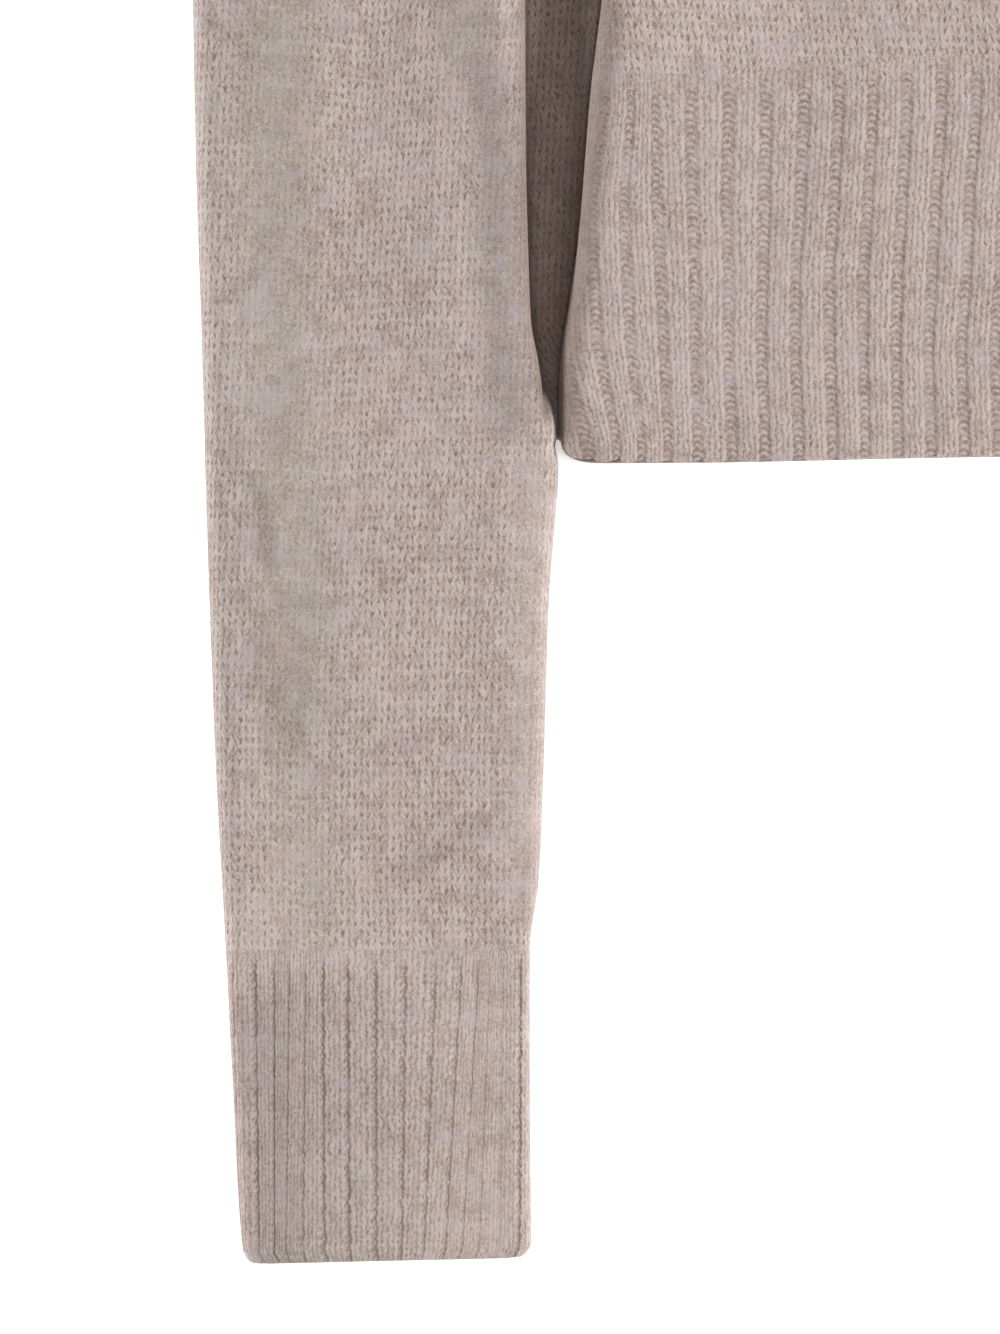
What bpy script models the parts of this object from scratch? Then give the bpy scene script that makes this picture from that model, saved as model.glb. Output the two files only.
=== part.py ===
"""A cropped, long-sleeved sweater in wool, laid out flat on its back.

Metres, +Z up, +Y towards the neck, the floor at Z = 0. Each knitted piece is a wall of its own, about 0.3 mm clear of
the next one at every seam. A height is measured up the body from its bottom edge, and a width from its centre line.
"""

import math
from collections import namedtuple

import bpy
import numpy as np

# Cloth
WALL = 0.0024
RIB_WALL = 0.0028  # under the middle of a rib's relief
RIB_RISE = 0.0006  # how far a rib stands out, and its groove sinks in
SEAM = 0.0003
MIDDLE = 0.0056  # height of the body's upper side where the two panels lie on each other

# Body
HEM_DEPTH = 0.116
HEM_TOP_RISE = 0.007  # the rib is deeper over the middle
HEM_RISE = 0.0018  # and its bottom edge a little higher there
CORNER_WIDTH = 0.0125
CORNER_HEIGHT = 0.0066
UNDERARM = 0.178
ARMHOLE_EASE = 0.014  # the side roll opens into the armhole over this height
SHOULDER_TIP = 0.350
NECK_POINT = 0.391
NECK_HALF = 0.092
FRONT_NECK_DROP = 0.085
BACK_NECK_DROP = 0.022
NECK_ROUND = 0.85  # 1 would bring the neck edge to the neck point at a right angle
SLOPE_AWAY = 0.050  # the rolled side runs out into the flat middle over this width
HEM_REPEAT = 0.01015  # one rib and one groove
HEM_REPEATS = 24  # from the centre line to the side
HEM_ROWS = (0.0, 0.10, 0.30, 0.52, 0.76, 1.0)

# Neckband
BAND_DEPTH = 0.019
BAND_TAPER = 0.008  # how much narrower the band's free edge is, on each side
BAND_CLEAR = 0.0006
BAND_MIDDLE = 0.0032  # height of the line that the band is folded along
BAND_REPEATS = (14, 10)  # from the centre line to that fold, in front and at the back

# Sleeve
CUFF_END = -0.241
CUFF_TOP = -0.1464
CUFF_TILT = 0.002  # the cuff's end is this much higher at its inner corner
CUFF_ROWS = (0.0, 0.045, 0.50, 1.0)
CUFF_WALL = 0.0023
CUFF_RISE = 0.0005
GROOVE_HALF = 0.0012
FOLD_WIDTH = 0.006  # half the width of the rolled fold beside the body
FOLD_CLEAR = 0.0008  # between that roll and the cloth that it lies over
FLOOR_ROLL = 0.0028  # radius of the sleeve's inner edge, where it is only two layers high
BESIDE_HEM = 0.0009  # from the body's side out to the sleeve's inner edge, next to the hem's corner
UNDER_ROLL = -0.0002  # and further up, where that edge is low enough to reach in under the body's roll

YARN = (0.47, 0.385, 0.355, 1.0)

Side = namedtuple("Side", "height half_width roll under")
# under is how far the side seam is carried on round the roll, beneath the sweater
SIDES = [
    Side(0.0000, 0.2412, 0.0062, 0.000),
    Side(0.0120, 0.2409, 0.0070, 0.003),
    Side(0.0340, 0.2394, 0.0080, 0.007),
    Side(0.0490, 0.2370, 0.0080, 0.010),
    Side(0.0760, 0.2336, 0.0080, 0.015),
    Side(0.1070, 0.2313, 0.0080, 0.021),
    Side(0.1390, 0.2274, 0.0080, 0.013),
    Side(0.1600, 0.2252, 0.0080, 0.004),
    Side(0.1780, 0.2240, 0.0080, 0.000),
    Side(0.3500, 0.2220, 0.0055, 0.000),
]
PANEL_ROWS = (0.1163, 0.135, 0.149, 0.163, 0.178, 0.1793, 0.183, 0.192)  # up to where the armhole runs straight

# Ribs lean as they run up: towards the side next to the side seam, and apart over the middle of the panel
Lean = namedtuple("Lean", "position lean")
LEANS = [
    Lean(0.000, 0.000),
    Lean(0.093, 0.040),
    Lean(0.116, 0.036),
    Lean(0.146, 0.018),
    Lean(0.177, 0.000),
    Lean(0.198, 0.000),
    Lean(0.2085, 0.046),
    Lean(0.228, 0.110),
    Lean(0.250, 0.110),
]

# The sleeve's two edges, the roll of its outer edge, the broad valley along it, and the fold that stands up beside
# the body. folded is 1 where that fold lies over the cloth beyond it, and 0 where it is the sleeve's own edge.
# Beside the body, the inner edge follows the body's side instead.
Arm = namedtuple("Arm", "height outer inner roll valley valley_top fold fold_top folded")
ARMS = [
    Arm(-0.2410, 0.3330, 0.2510, 0.0046, 0.300, 0.0078, 0.2510, 0.0098, 0.0),
    Arm(-0.2370, 0.3354, 0.2486, 0.0050, 0.300, 0.0078, 0.2486, 0.0104, 0.0),
    Arm(-0.1870, 0.3384, 0.2490, 0.0052, 0.304, 0.0080, 0.2490, 0.0108, 0.0),
    Arm(-0.1464, 0.3405, 0.2490, 0.0055, 0.310, 0.0082, 0.2490, 0.0114, 0.0),
    Arm(-0.1250, 0.3417, 0.2463, 0.0060, 0.318, 0.0088, 0.2463, 0.0130, 0.0),
    Arm(-0.0900, 0.3435, 0.2448, 0.0066, 0.319, 0.0092, 0.2448, 0.0144, 0.0),
    Arm(-0.0420, 0.3453, 0.2433, 0.0070, 0.317, 0.0095, 0.2433, 0.0152, 0.0),
    Arm(-0.0180, 0.3461, 0.2415, 0.0070, 0.315, 0.0096, 0.2415, 0.0156, 0.0),
    Arm(-0.0020, 0.3466, 0.2404, 0.0070, 0.313, 0.0097, 0.2404, 0.0160, 0.0),
    Arm(0.0080, 0.3468, 0.2418, 0.0070, 0.312, 0.0098, 0.2424, 0.0166, 0.0),
    Arm(0.0180, 0.3471, 0.2411, 0.0070, 0.311, 0.0099, 0.2440, 0.0176, 0.3),
    Arm(0.0280, 0.3474, 0.2400, 0.0070, 0.310, 0.0100, 0.2465, 0.0182, 0.7),
    Arm(0.0420, 0.3478, 0.2380, 0.0070, 0.308, 0.0101, 0.2487, 0.0188, 1.0),
    Arm(0.0620, 0.3485, 0.2350, 0.0070, 0.305, 0.0102, 0.2495, 0.0190, 1.0),
    Arm(0.0900, 0.3494, 0.2323, 0.0070, 0.301, 0.0103, 0.2502, 0.0190, 1.0),
    Arm(0.1420, 0.3504, 0.2269, 0.0070, 0.295, 0.0104, 0.2505, 0.0190, 1.0),
]
SLEEVE_ROWS = (-0.1461, -0.118, -0.07, -0.03, -0.008, 0.004, 0.016, 0.028, 0.042, 0.062, 0.087, 0.113, 0.142)

# Above its straight part the sleeve turns like a fan about the underarm until it lies along the armhole
Fan = namedtuple("Fan", "turn inner_height outer_height outer roll opened")
FANS = [
    Fan(0, 0.142, 0.1420, 0.3504, 0.0070, 0.00),
    Fan(1, 0.150, 0.1880, 0.3465, 0.0070, 0.12),
    Fan(2, 0.157, 0.2350, 0.3330, 0.0067, 0.35),
    Fan(3, 0.163, 0.2780, 0.3110, 0.0064, 0.60),
    Fan(4, 0.168, 0.3105, 0.2845, 0.0061, 0.82),
    Fan(5, 0.173, 0.3335, 0.2545, 0.0058, 0.95),
    Fan(6, 0.178, 0.3500, 0.2223, 0.0055, 1.00),
]
FAN_STEPS = 7

# Grooves of the cuff's ribs, as widths from the centre line at its two ends
Groove = namedtuple("Groove", "top end")
GROOVES = [
    Groove(0.2517, 0.2520),
    Groove(0.2570, 0.2580),
    Groove(0.2607, 0.2643),
    Groove(0.2640, 0.2694),
    Groove(0.2691, 0.2745),
    Groove(0.2769, 0.2808),
    Groove(0.2862, 0.2874),
    Groove(0.2952, 0.2949),
    Groove(0.3036, 0.3030),
    Groove(0.3111, 0.3105),
    Groove(0.3162, 0.3171),
    Groove(0.3210, 0.3222),
    Groove(0.3255, 0.3255),
    Groove(0.3312, 0.3300),
]


def along(table, key, column, at):
    """A column of a table, read at any value of its key on a smooth curve that has no bumps of its own."""
    knots = np.array([getattr(row, key) for row in table], dtype=float)
    values = np.array([getattr(row, column) for row in table])
    steps = np.diff(knots)
    slopes = np.diff(values) / steps
    products = slopes[:-1] * slopes[1:]
    sums = np.where(products > 0, slopes[:-1] + slopes[1:], 1.0)
    inner = np.where(products > 0, 2 * products / sums, 0.0)
    tangents = np.concatenate([slopes[:1], inner, slopes[-1:]])
    at = np.clip(at, knots[0], knots[-1])
    i = np.clip(np.searchsorted(knots, at, side="right") - 1, 0, len(steps) - 1)
    t = (at - knots[i]) / steps[i]
    return (
        values[i] * (1 + 2 * t) * (1 - t) ** 2
        + values[i + 1] * t * t * (3 - 2 * t)
        + steps[i] * (tangents[i] * t * (1 - t) ** 2 - tangents[i + 1] * t * t * (1 - t))
    )


def ramp(value, low, high):
    """0 below low, 1 above high, and a soft S between them."""
    t = np.clip((value - low) / (high - low), 0.0, 1.0)
    return t * t * (3 - 2 * t)


def unit(vectors):
    return vectors / np.maximum(np.linalg.norm(vectors, axis=-1, keepdims=True), 1e-12)


def degrees(start, end, steps):
    """Equal steps of turn, in radians."""
    return np.radians(np.linspace(start, end, steps + 1))


# Cloth as solids


def wool(name):
    material = bpy.data.materials.new(name)
    material.use_nodes = True
    shader = material.node_tree.nodes["Principled BSDF"]
    shader.inputs["Base Color"].default_value = YARN
    shader.inputs["Roughness"].default_value = 0.9
    shader.inputs["Metallic"].default_value = 0.0
    return material


def tangent(points, axis, ring=False):
    """The direction of a grid's lines at each of its points, halfway between the steps before and after it."""
    if ring:
        steps = unit(np.roll(points, -1, axis) - points)
        return unit(steps + np.roll(steps, 1, axis))
    steps = unit(np.diff(points, axis=axis))
    before = np.concatenate([np.take(steps, [0], axis), steps], axis)
    after = np.concatenate([steps, np.take(steps, [-1], axis)], axis)
    return unit(before + after)


def outward(points, ring=False):
    """The direction that each point of a grid faces, where its rows run up and its columns run to the right."""
    return unit(np.cross(tangent(points, 1, ring), tangent(points, 0)))


def cloth(name, points, facing, wall, relief=0.0, ring=False):
    """A wall of cloth as one closed solid. Its outside is the grid, moved out by the relief, and its inside is plain."""
    rows, columns = points.shape[:2]
    outside = points + facing * np.broadcast_to(relief, points.shape[:2])[..., None]
    inside = points - facing * wall
    length_middle = (NECK_POINT + BAND_DEPTH + CUFF_END) / 2
    vertices = np.concatenate([outside.reshape(-1, 3), inside.reshape(-1, 3)]) - [0, length_middle, 0]
    front = np.arange(rows * columns).reshape(rows, columns)
    if ring:
        front = np.concatenate([front, front[:, :1]], axis=1)
    back = front + rows * columns
    corners = [front[:-1, :-1], front[:-1, 1:], front[1:, 1:], front[1:, :-1]]
    quads = np.stack(corners, axis=-1).reshape(-1, 4)
    flat = points.reshape(-1, 3)
    long = np.linalg.norm(flat[quads[:, 0]] - flat[quads[:, 2]], axis=1)
    turned = long > np.linalg.norm(flat[quads[:, 1]] - flat[quads[:, 3]], axis=1) + 1e-9
    quads[turned] = np.roll(quads[turned], -1, axis=1)  # so that each quad is split along its shorter diagonal
    rims = [(front[0], back[0]), (front[-1][::-1], back[-1][::-1])]
    if not ring:
        rims.append((front[:, -1], back[:, -1]))
    rims = [np.stack([f[1:], f[:-1], b[:-1], b[1:]], axis=-1) for f, b in rims]
    if not ring:  # split like the opposite rim, so that two pieces stay apart all along a seam
        f, b = front[:, 0], back[:, 0]
        rims.append(np.stack([f[1:], b[1:], b[:-1], f[:-1]], axis=-1))
    quads = np.concatenate([quads, quads[:, [2, 1, 0, 3]] + rows * columns, *rims])
    faces = np.concatenate([quads[:, [0, 1, 2]], quads[:, [0, 2, 3]]])
    mesh = bpy.data.meshes.new(name)
    mesh.from_pydata(vertices.tolist(), [], faces.tolist())
    mesh.materials.append(wool(name))
    mesh.shade_smooth()
    piece = bpy.data.objects.new(name, mesh)
    bpy.context.scene.collection.objects.link(piece)


def both_halves(half):
    """A grid whose first column lies on the centre line, with its mirror image before it."""
    return np.concatenate([half[:, :0:-1] * [-1, 1, 1], half], axis=1)


def other_side(points):
    """The mirror image of a grid, its columns turned round so that it still faces outwards."""
    return (points * [-1, 1, 1])[:, ::-1]


# Body


def half_width(height):
    return along(SIDES, "height", "half_width", height)


def side_roll(height):
    return along(SIDES, "height", "roll", height)


def side_open(height):
    """0 where the body's side is a closed roll, 1 where it has opened into the armhole, which has a rounded end."""
    return np.sqrt(1 - (1 - np.clip((height - UNDERARM) / ARMHOLE_EASE, 0.0, 1.0)) ** 2)


def body_top(run, height):
    """Height of the body's upper side above the floor, before its sides and shoulders roll over."""
    flat = half_width(height) - side_roll(height)
    return MIDDLE + (2 * side_roll(height) - MIDDLE) * ramp(np.abs(run), flat - SLOPE_AWAY, flat)


def side_shape(height, run, upper):
    """A point of the body's outside, by its height and its run across from the centre line. At the side the run goes
    round the roll, and on along the other side of the sweater."""
    roll = side_roll(height)
    flat = half_width(height) - roll
    turn = np.clip((run - flat) / roll, 0.0, math.pi)
    beyond = np.maximum(run - flat - math.pi * roll, 0.0)
    drop = roll * (1 - np.cos(turn)) * (1 - side_open(height))
    z = np.maximum(body_top(run, height) - drop, 0.0) if upper else drop
    return np.stack([np.minimum(run, flat) + roll * np.sin(turn) - beyond, height, z], axis=-1)


def body(height, run, upper):
    """Points of the body's outside and the directions that they face, with the shoulders rolled over."""
    side, step, rise = (1 if upper else -1), 0.00001, 0.001
    points = side_shape(height, run, upper)
    across = side_shape(height, run + step, upper) - side_shape(height, run - step, upper)
    upward = side_shape(height + rise, run, upper) - side_shape(height - rise, run, upper)
    facing = side * unit(np.cross(across, upward))
    opened = side_open(height)[..., None]
    facing = np.where(opened < 1, unit(facing * (1 - opened) + opened * np.array([0, 0, side])), facing)
    slope = (NECK_POINT - SHOULDER_TIP) / (half_width(SHOULDER_TIP) - NECK_HALF)
    to_shoulder = (NECK_POINT - height - slope * (points[..., 0] - NECK_HALF)) / math.hypot(1, slope)
    top = body_top(run, height)
    rounding = np.clip(1 - to_shoulder / (top / 2), 0.0, 1.0)
    flatness = np.sqrt(1 - rounding**2)
    middle = (top + side * SEAM) / 2
    points[..., 2] = middle + (points[..., 2] - middle) * flatness
    facing = unit(facing * flatness[..., None] + np.array([0, 1, 0]) * rounding[..., None])
    return points, facing


def neck_curve(turn, half, drop):
    """Width of the neck edge and how far it lies below the neck point, for a turn from the centre line."""
    end = NECK_ROUND * math.pi / 2
    low = (np.cos(NECK_ROUND * turn) - math.cos(end)) / (1 - math.cos(end))
    return half * np.sin(NECK_ROUND * turn) / math.sin(end), drop * low


def seam_run(height, upper):
    """Run from the centre line to the side seam."""
    to_side = half_width(height) - side_roll(height) * (1 - math.pi / 2)
    under = along(SIDES, "height", "under", height)
    return to_side + (under if upper else -under) - SEAM / 2


def hem_height(share, run):
    """Height of a point of the hem rib: share 0 is its bottom edge, with rounded corners, and 1 its top edge."""
    corner = np.clip((run - half_width(0.0) + CORNER_WIDTH) / CORNER_WIDTH, 0.0, 1.0)
    middle = 1 - ramp(run, 0.10, 0.21)
    bottom = HEM_RISE * middle + CORNER_HEIGHT * (1 - np.sqrt(1 - corner**2))
    return (1 - share) * bottom + share * (HEM_DEPTH + HEM_TOP_RISE * middle)


def hem_rib(name, upper):
    """The ribs stand up on the upper side and round the sides. The side that the sweater lies on is plain."""
    if upper:
        positions = np.arange(2 * HEM_REPEATS + 1) * HEM_REPEAT / 2
        rise = np.append(np.tile([1.0, -1.0], HEM_REPEATS), [1.0, 1.0]) * RIB_RISE
        leans = along(LEANS, "position", "lean", positions)
    else:
        shares = np.array([0.0, 0.25, 0.5, 0.75, 0.88, 0.936, 0.962, 0.975, 0.988, 1.0])
    points, facing = [], []
    for share in HEM_ROWS:
        end = seam_run(hem_height(share, half_width(0.0)), upper)
        if upper:
            runs = np.append(positions + leans * (hem_height(share, positions) - HEM_DEPTH / 2), end)
        else:
            runs = shares * end
        row = body(hem_height(share, runs), runs, upper)
        points.append(row[0])
        facing.append(row[1])
    points, facing = both_halves(np.stack(points)), both_halves(np.stack(facing))
    if upper:
        relief = np.concatenate([rise[:0:-1], rise]) * ramp(facing[..., 2], -0.8, 0.7)
        cloth(name, points, facing, RIB_WALL, relief)
    else:
        cloth(name, points[:, ::-1], facing[:, ::-1], WALL)


def panel(name, neck_drop, upper, neck_turn):
    """Front or back. Rows run from the hem rib to the shoulders and the neck edge, and columns from side to side."""
    inner = np.array([0.56, 0.68, 0.78, 0.85, 0.925, 1.0])
    low_share = np.concatenate([np.linspace(0, 0.45, len(neck_turn)), inner])
    flat_top = half_width(SHOULDER_TIP) - side_roll(SHOULDER_TIP)
    shoulder_x = NECK_HALF + (flat_top - NECK_HALF) * np.arange(1, len(inner) + 1) / len(inner)
    neck_x, below = neck_curve(neck_turn, NECK_HALF, neck_drop)
    top_share = np.concatenate([neck_x, shoulder_x]) / flat_top
    roll_share = np.arange(1, 6) / 5

    def across(side_height):
        """Runs of the columns at the height where a row meets the side seam."""
        end = seam_run(side_height, upper)
        flat = min(half_width(side_height) - side_roll(side_height), end - 0.005)
        share = (side_height - PANEL_ROWS[0]) / (SHOULDER_TIP - PANEL_ROWS[0])
        runs = flat * ((1 - share) * low_share + share * top_share)
        return np.concatenate([runs, flat + (end - flat) * roll_share])

    slope = (NECK_POINT - SHOULDER_TIP) / (half_width(SHOULDER_TIP) - NECK_HALF)
    top_runs = across(SHOULDER_TIP)
    top_x = side_shape(SHOULDER_TIP + 0 * top_runs, top_runs, upper)[:, 0]
    top_height = NECK_POINT - slope * (top_x - NECK_HALF)
    top_height[: len(neck_turn)] = NECK_POINT - below
    rounded = body_top(top_runs, SHOULDER_TIP) / 2 * math.hypot(1, slope)
    start = hem_height(1.0, across(PANEL_ROWS[0])) + SEAM
    points, facing = [], []
    for side_height in (*PANEL_ROWS, SHOULDER_TIP - rounded[-1]):
        share = (side_height - PANEL_ROWS[0]) / (SHOULDER_TIP - rounded[-1] - PANEL_ROWS[0])
        row = body(start + share * (top_height - rounded - start), across(side_height), upper)
        points.append(row[0])
        facing.append(row[1])
    for turn in degrees(60, 0, 2):
        short = rounded * (1 - math.cos(turn))
        row = body(top_height - short, across(SHOULDER_TIP - short[-1]), upper)
        points.append(row[0])
        facing.append(row[1])
    points, facing = both_halves(np.stack(points)), both_halves(np.stack(facing))
    if not upper:
        points, facing = points[:, ::-1], facing[:, ::-1]
    cloth(name, points, facing, WALL)


def neckband():
    """A ring of rib that stands up from the neck edge, flattened: its front half lies over its back half."""
    fine = degrees(0, 90, 400)
    quarters = []
    for drop, repeats in zip((FRONT_NECK_DROP, BACK_NECK_DROP), BAND_REPEATS):
        x, below = neck_curve(fine, NECK_HALF, drop)
        length = np.concatenate([[0.0], np.cumsum(np.hypot(np.diff(x), np.diff(below)))])
        quarters.append(np.interp(np.linspace(0, length[-1], 3 * repeats + 1), length, fine))
    front, back = quarters
    turn = np.concatenate([front[:-1], back[:0:-1], -back[:-1], -front[:0:-1]])
    side = np.ones(len(turn))
    side[len(front) - 1 : 1 - len(front)] = -1  # the back half
    fold = unit(np.array([BAND_TAPER, BAND_CLEAR - BAND_DEPTH]))
    points = []
    for share in (0.0, 1.0):
        half = NECK_HALF - BAND_CLEAR - RIB_RISE - BAND_TAPER * share
        lift = BAND_CLEAR + (BAND_DEPTH - BAND_CLEAR) * share
        drop = np.where(side > 0, FRONT_NECK_DROP, BACK_NECK_DROP) - 0.005 * share
        x, below = neck_curve(turn, half, drop)
        from_fold = (half - np.abs(x)) * -fold[1] + below * fold[0]
        rounding = np.clip(1 - from_fold / BAND_MIDDLE, 0.0, 1.0)
        z = BAND_MIDDLE * (1 + side * np.sqrt(1 - rounding**2))
        points.append(np.stack([x, NECK_POINT + lift - below, z], axis=-1))
    points = np.stack(points)
    facing = outward(points, ring=True)
    rise = np.tile([1.0, 1.0, -1.0], 2 * sum(BAND_REPEATS)) * RIB_RISE
    cloth("neckband", points, facing, WALL, rise * ramp(facing[..., 2], -0.8, 0.3), ring=True)


# Sleeves


def arm(column, height):
    return float(along(ARMS, "height", column, height))


def armhole_top(height):
    """Height above the floor of the body's upper edge along the armhole."""
    return side_roll(height) * (1 + side_open(height))


def armhole_under(height):
    return side_roll(height) * (1 - side_open(height))


def sleeve_section(height, edge, width, roll, opened=0.0):
    """The sleeve's outside across one station: distances from its inner edge, and heights above the floor. It starts
    and ends at the seam along the inner edge, and goes out underneath and back over the top."""
    folded, fold_top, valley_top = arm("folded", height), arm("fold_top", height), arm("valley_top", height)
    fold, valley = arm("fold", height) - edge, arm("valley", height) - edge
    inner_roll = folded * FLOOR_ROLL + (1 - folded) * fold_top / 2
    # underneath
    turn = degrees(0, 90, 3)
    under = np.stack([inner_roll * (1 - np.cos(turn)), inner_roll * (1 - np.sin(turn))], axis=-1)
    wide = ARMHOLE_EASE * np.linspace(0, 1, 4) ** 2
    under = (1 - opened) * under + opened * np.stack([wide, armhole_under(UNDERARM + wide)], axis=-1)
    floor = np.linspace(under[-1, 0], width - roll, 4)[1:]
    floor = np.stack([floor, 0 * floor], axis=-1)
    # round the outer edge
    turn = degrees(-90, 90, 5)[1:]
    outer = np.stack([width - roll + roll * np.cos(turn), roll + roll * np.sin(turn)], axis=-1)
    # down to the valley and up to the fold's crest
    crest = folded * (fold + FOLD_WIDTH) + (1 - folded) * fold_top / 2
    steps = np.arange(1, 4) / 3
    reach = np.concatenate([width - roll + (valley - width + roll) * steps, valley + (crest - valley) * steps])
    dip = np.concatenate([ramp(1 - steps, 0, 1), ramp(steps, 0, 1)])
    highest = np.repeat([2 * roll, fold_top], 3)
    middle = np.stack([reach, valley_top + (highest - valley_top) * dip], axis=-1)
    level = armhole_top(np.minimum(UNDERARM + reach, SHOULDER_TIP))
    middle[:, 1] = (1 - opened) * middle[:, 1] + opened * level
    # the fold: its roll, the crease beneath it, the cloth beside the body and the sleeve's inner edge
    layers = 2 * FLOOR_ROLL
    half_roll = (fold_top - layers - FOLD_CLEAR) / 2
    turn = degrees(90, -72, 6)[1:]
    over = [fold + FOLD_WIDTH * (1 - np.cos(turn)), fold_top - half_roll * (1 - np.sin(turn))]
    crease = [np.full(2, fold + FOLD_WIDTH * 0.9), layers + np.array([0.0004, 0.0])]
    bed = [[fold + FOLD_WIDTH * 0.3, FLOOR_ROLL + (fold - FLOOR_ROLL) * 0.5], [layers, layers]]
    turn = degrees(90, 0, 3)
    lip = [FLOOR_ROLL * (1 - np.cos(turn)), FLOOR_ROLL * (1 + np.sin(turn))]
    deep = np.stack([np.concatenate(parts) for parts in zip(over, crease, bed, lip)], axis=-1)
    left = 1 - np.arange(1, len(deep) + 1) / len(deep)
    turn = math.pi / 2 * left
    plain = np.stack([1 - np.cos(turn), 1 + np.sin(turn)], axis=-1) * fold_top / 2
    spread = crest * left**2
    spread = np.stack([spread, armhole_top(UNDERARM + spread)], axis=-1)
    last = (1 - opened) * (folded * deep + (1 - folded) * plain) + opened * spread
    section = np.concatenate([under, floor, outer, middle, last])
    section[0, 1] -= SEAM / 2
    section[-1, 1] += SEAM / 2
    return section


def station(inner, outer, section):
    """Sets a section up along the line between two points of the plan, the sleeve's inner and outer edges. Also gives
    the direction that its seam faces."""
    inner, outer = np.array(inner), np.array(outer)
    way = (outer - inner) / math.dist(inner, outer)
    plan = inner + section[:, :1] * way
    return np.column_stack([-plan[:, 0], plan[:, 1], section[:, 1]]), np.array([way[0], -way[1], 0.0])


def tube(name, stations, turned, wall, relief=0.0):
    """Cloth through stations, closed along the inner edge by its own seam."""
    points = np.stack([points for points, _ in stations])
    facing = outward(points)
    seam = np.stack([seam for _, seam in stations])
    facing[:, 0] = facing[:, -1] = seam
    if name.startswith("sleeve"):
        for i in range(1, 5):  # the wall turns evenly round the sharp end of the armhole
            for column, clear in ((i, 5), (-1 - i, -6)):
                even = unit(seam * (1 - i / 5) + facing[:, clear] * i / 5)
                facing[len(SLEEVE_ROWS) :, column] = even[len(SLEEVE_ROWS) :]
        facing[0, :, 1] = 0.0  # level with the cuff
        facing[-1, :, 0] = 0.0  # in line with the armhole
    else:
        facing[-1, :, 1] = 0.0
    facing, relief = unit(facing), np.broadcast_to(relief, points.shape[:2])
    if turned:
        points, facing, relief = other_side(points), other_side(facing), relief[:, ::-1]
    cloth(name, points, facing, wall, relief)


def inner_edge(height):
    """Width of the sleeve's inner edge."""
    folded = arm("folded", height)
    beside = BESIDE_HEM + (UNDER_ROLL - BESIDE_HEM) * folded
    return float(half_width(height)) + beside if height > 0.006 else arm("inner", height)


def sleeve(name, turned):
    stations = []
    for height in SLEEVE_ROWS:
        edge, outer = inner_edge(height), arm("outer", height)
        section = sleeve_section(height, edge, outer - edge, arm("roll", height))
        stations.append(station((edge, height), (outer, height), section))
    straight = SLEEVE_ROWS[-1]
    for turn in np.linspace(0, FANS[-1].turn, FAN_STEPS + 1)[1:]:
        column = {name: float(along(FANS, "turn", name, turn)) for name in Fan._fields}
        opened = column["opened"]
        clear = UNDER_ROLL + (SEAM - UNDER_ROLL) * opened
        inner = (float(half_width(column["inner_height"])) + clear, column["inner_height"])
        outer = (column["outer"], column["outer_height"])
        section = sleeve_section(straight, inner_edge(straight), math.dist(inner, outer), column["roll"], opened)
        stations.append(station(inner, outer, section))
    armhole = stations[-1][0]
    armhole[:, 0] = -half_width(armhole[:, 1]) - SEAM
    tube(name, stations, turned, WALL)


def cuff_top(height, reach, width):
    """Height of the cuff's upper side above the floor, at a distance from its inner edge."""
    roll, fold_roll = arm("roll", height), arm("fold_top", height) / 2
    valley, valley_top = arm("valley", height) - arm("inner", height), arm("valley_top", height)
    inner = fold_roll + np.sqrt(fold_roll**2 - np.maximum(fold_roll - reach, 0.0) ** 2)
    outer = roll + np.sqrt(roll**2 - np.maximum(roll - width + reach, 0.0) ** 2)
    toward = ramp(valley - reach, 0, valley - fold_roll)
    away = ramp(reach - valley, 0, width - roll - valley)
    return valley_top + (inner - valley_top) * toward + (outer - valley_top) * away


def cuff(name, turned):
    """The sleeve's rib, a flattened tube with its seam along the same edge and its grooves where the table has them."""
    stations, relief = [], []
    square = ARMS[1].height  # above its rounded corners
    for share in CUFF_ROWS:
        height = CUFF_END + share * (CUFF_TOP - CUFF_END)
        edge, outer = arm("inner", height), arm("outer", height)
        width, roll, fold_roll = outer - edge, arm("roll", height), arm("fold_top", height) / 2
        grooves = np.array([groove.end + (groove.top - groove.end) * share for groove in GROOVES])
        grooves -= arm("inner", max(height, square))
        grooves *= width / (arm("outer", max(height, square)) - arm("inner", max(height, square)))
        ribs = (grooves[:, None] + np.array([-1, 0, 1]) * GROOVE_HALF).ravel()
        turn = degrees(0, 90, 3)
        under = [fold_roll * (1 - np.cos(turn)), fold_roll * (1 - np.sin(turn))]
        floor = np.linspace(fold_roll, width - roll, 4)[1:]
        turn = degrees(-90, 66, 5)[1:]
        side = [width - roll + roll * np.cos(turn), roll + roll * np.sin(turn)]
        over = np.concatenate([ribs[::-1], fold_roll * (1 - np.cos(degrees(30, 0, 2)))])
        parts = [under, [floor, 0 * floor], side, [over, cuff_top(height, over, width)]]
        section = np.concatenate([np.stack(part, axis=-1) for part in parts])
        section[0, 1] -= SEAM / 2
        section[-1, 1] += SEAM / 2
        rise = np.zeros(len(section))
        rise[-3 - len(ribs) : -3] = np.tile([1.0, -1.0, 1.0], len(GROOVES)) * CUFF_RISE
        relief.append(rise)
        points, seam = station((edge, height), (outer, height), section)
        points[:, 1] += CUFF_TILT * (1 - section[:, 0] / width) * ramp(0.4 - share, 0, 0.4)
        stations.append((points, seam))
    tube(name, stations, turned, CUFF_WALL, np.stack(relief))


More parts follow.
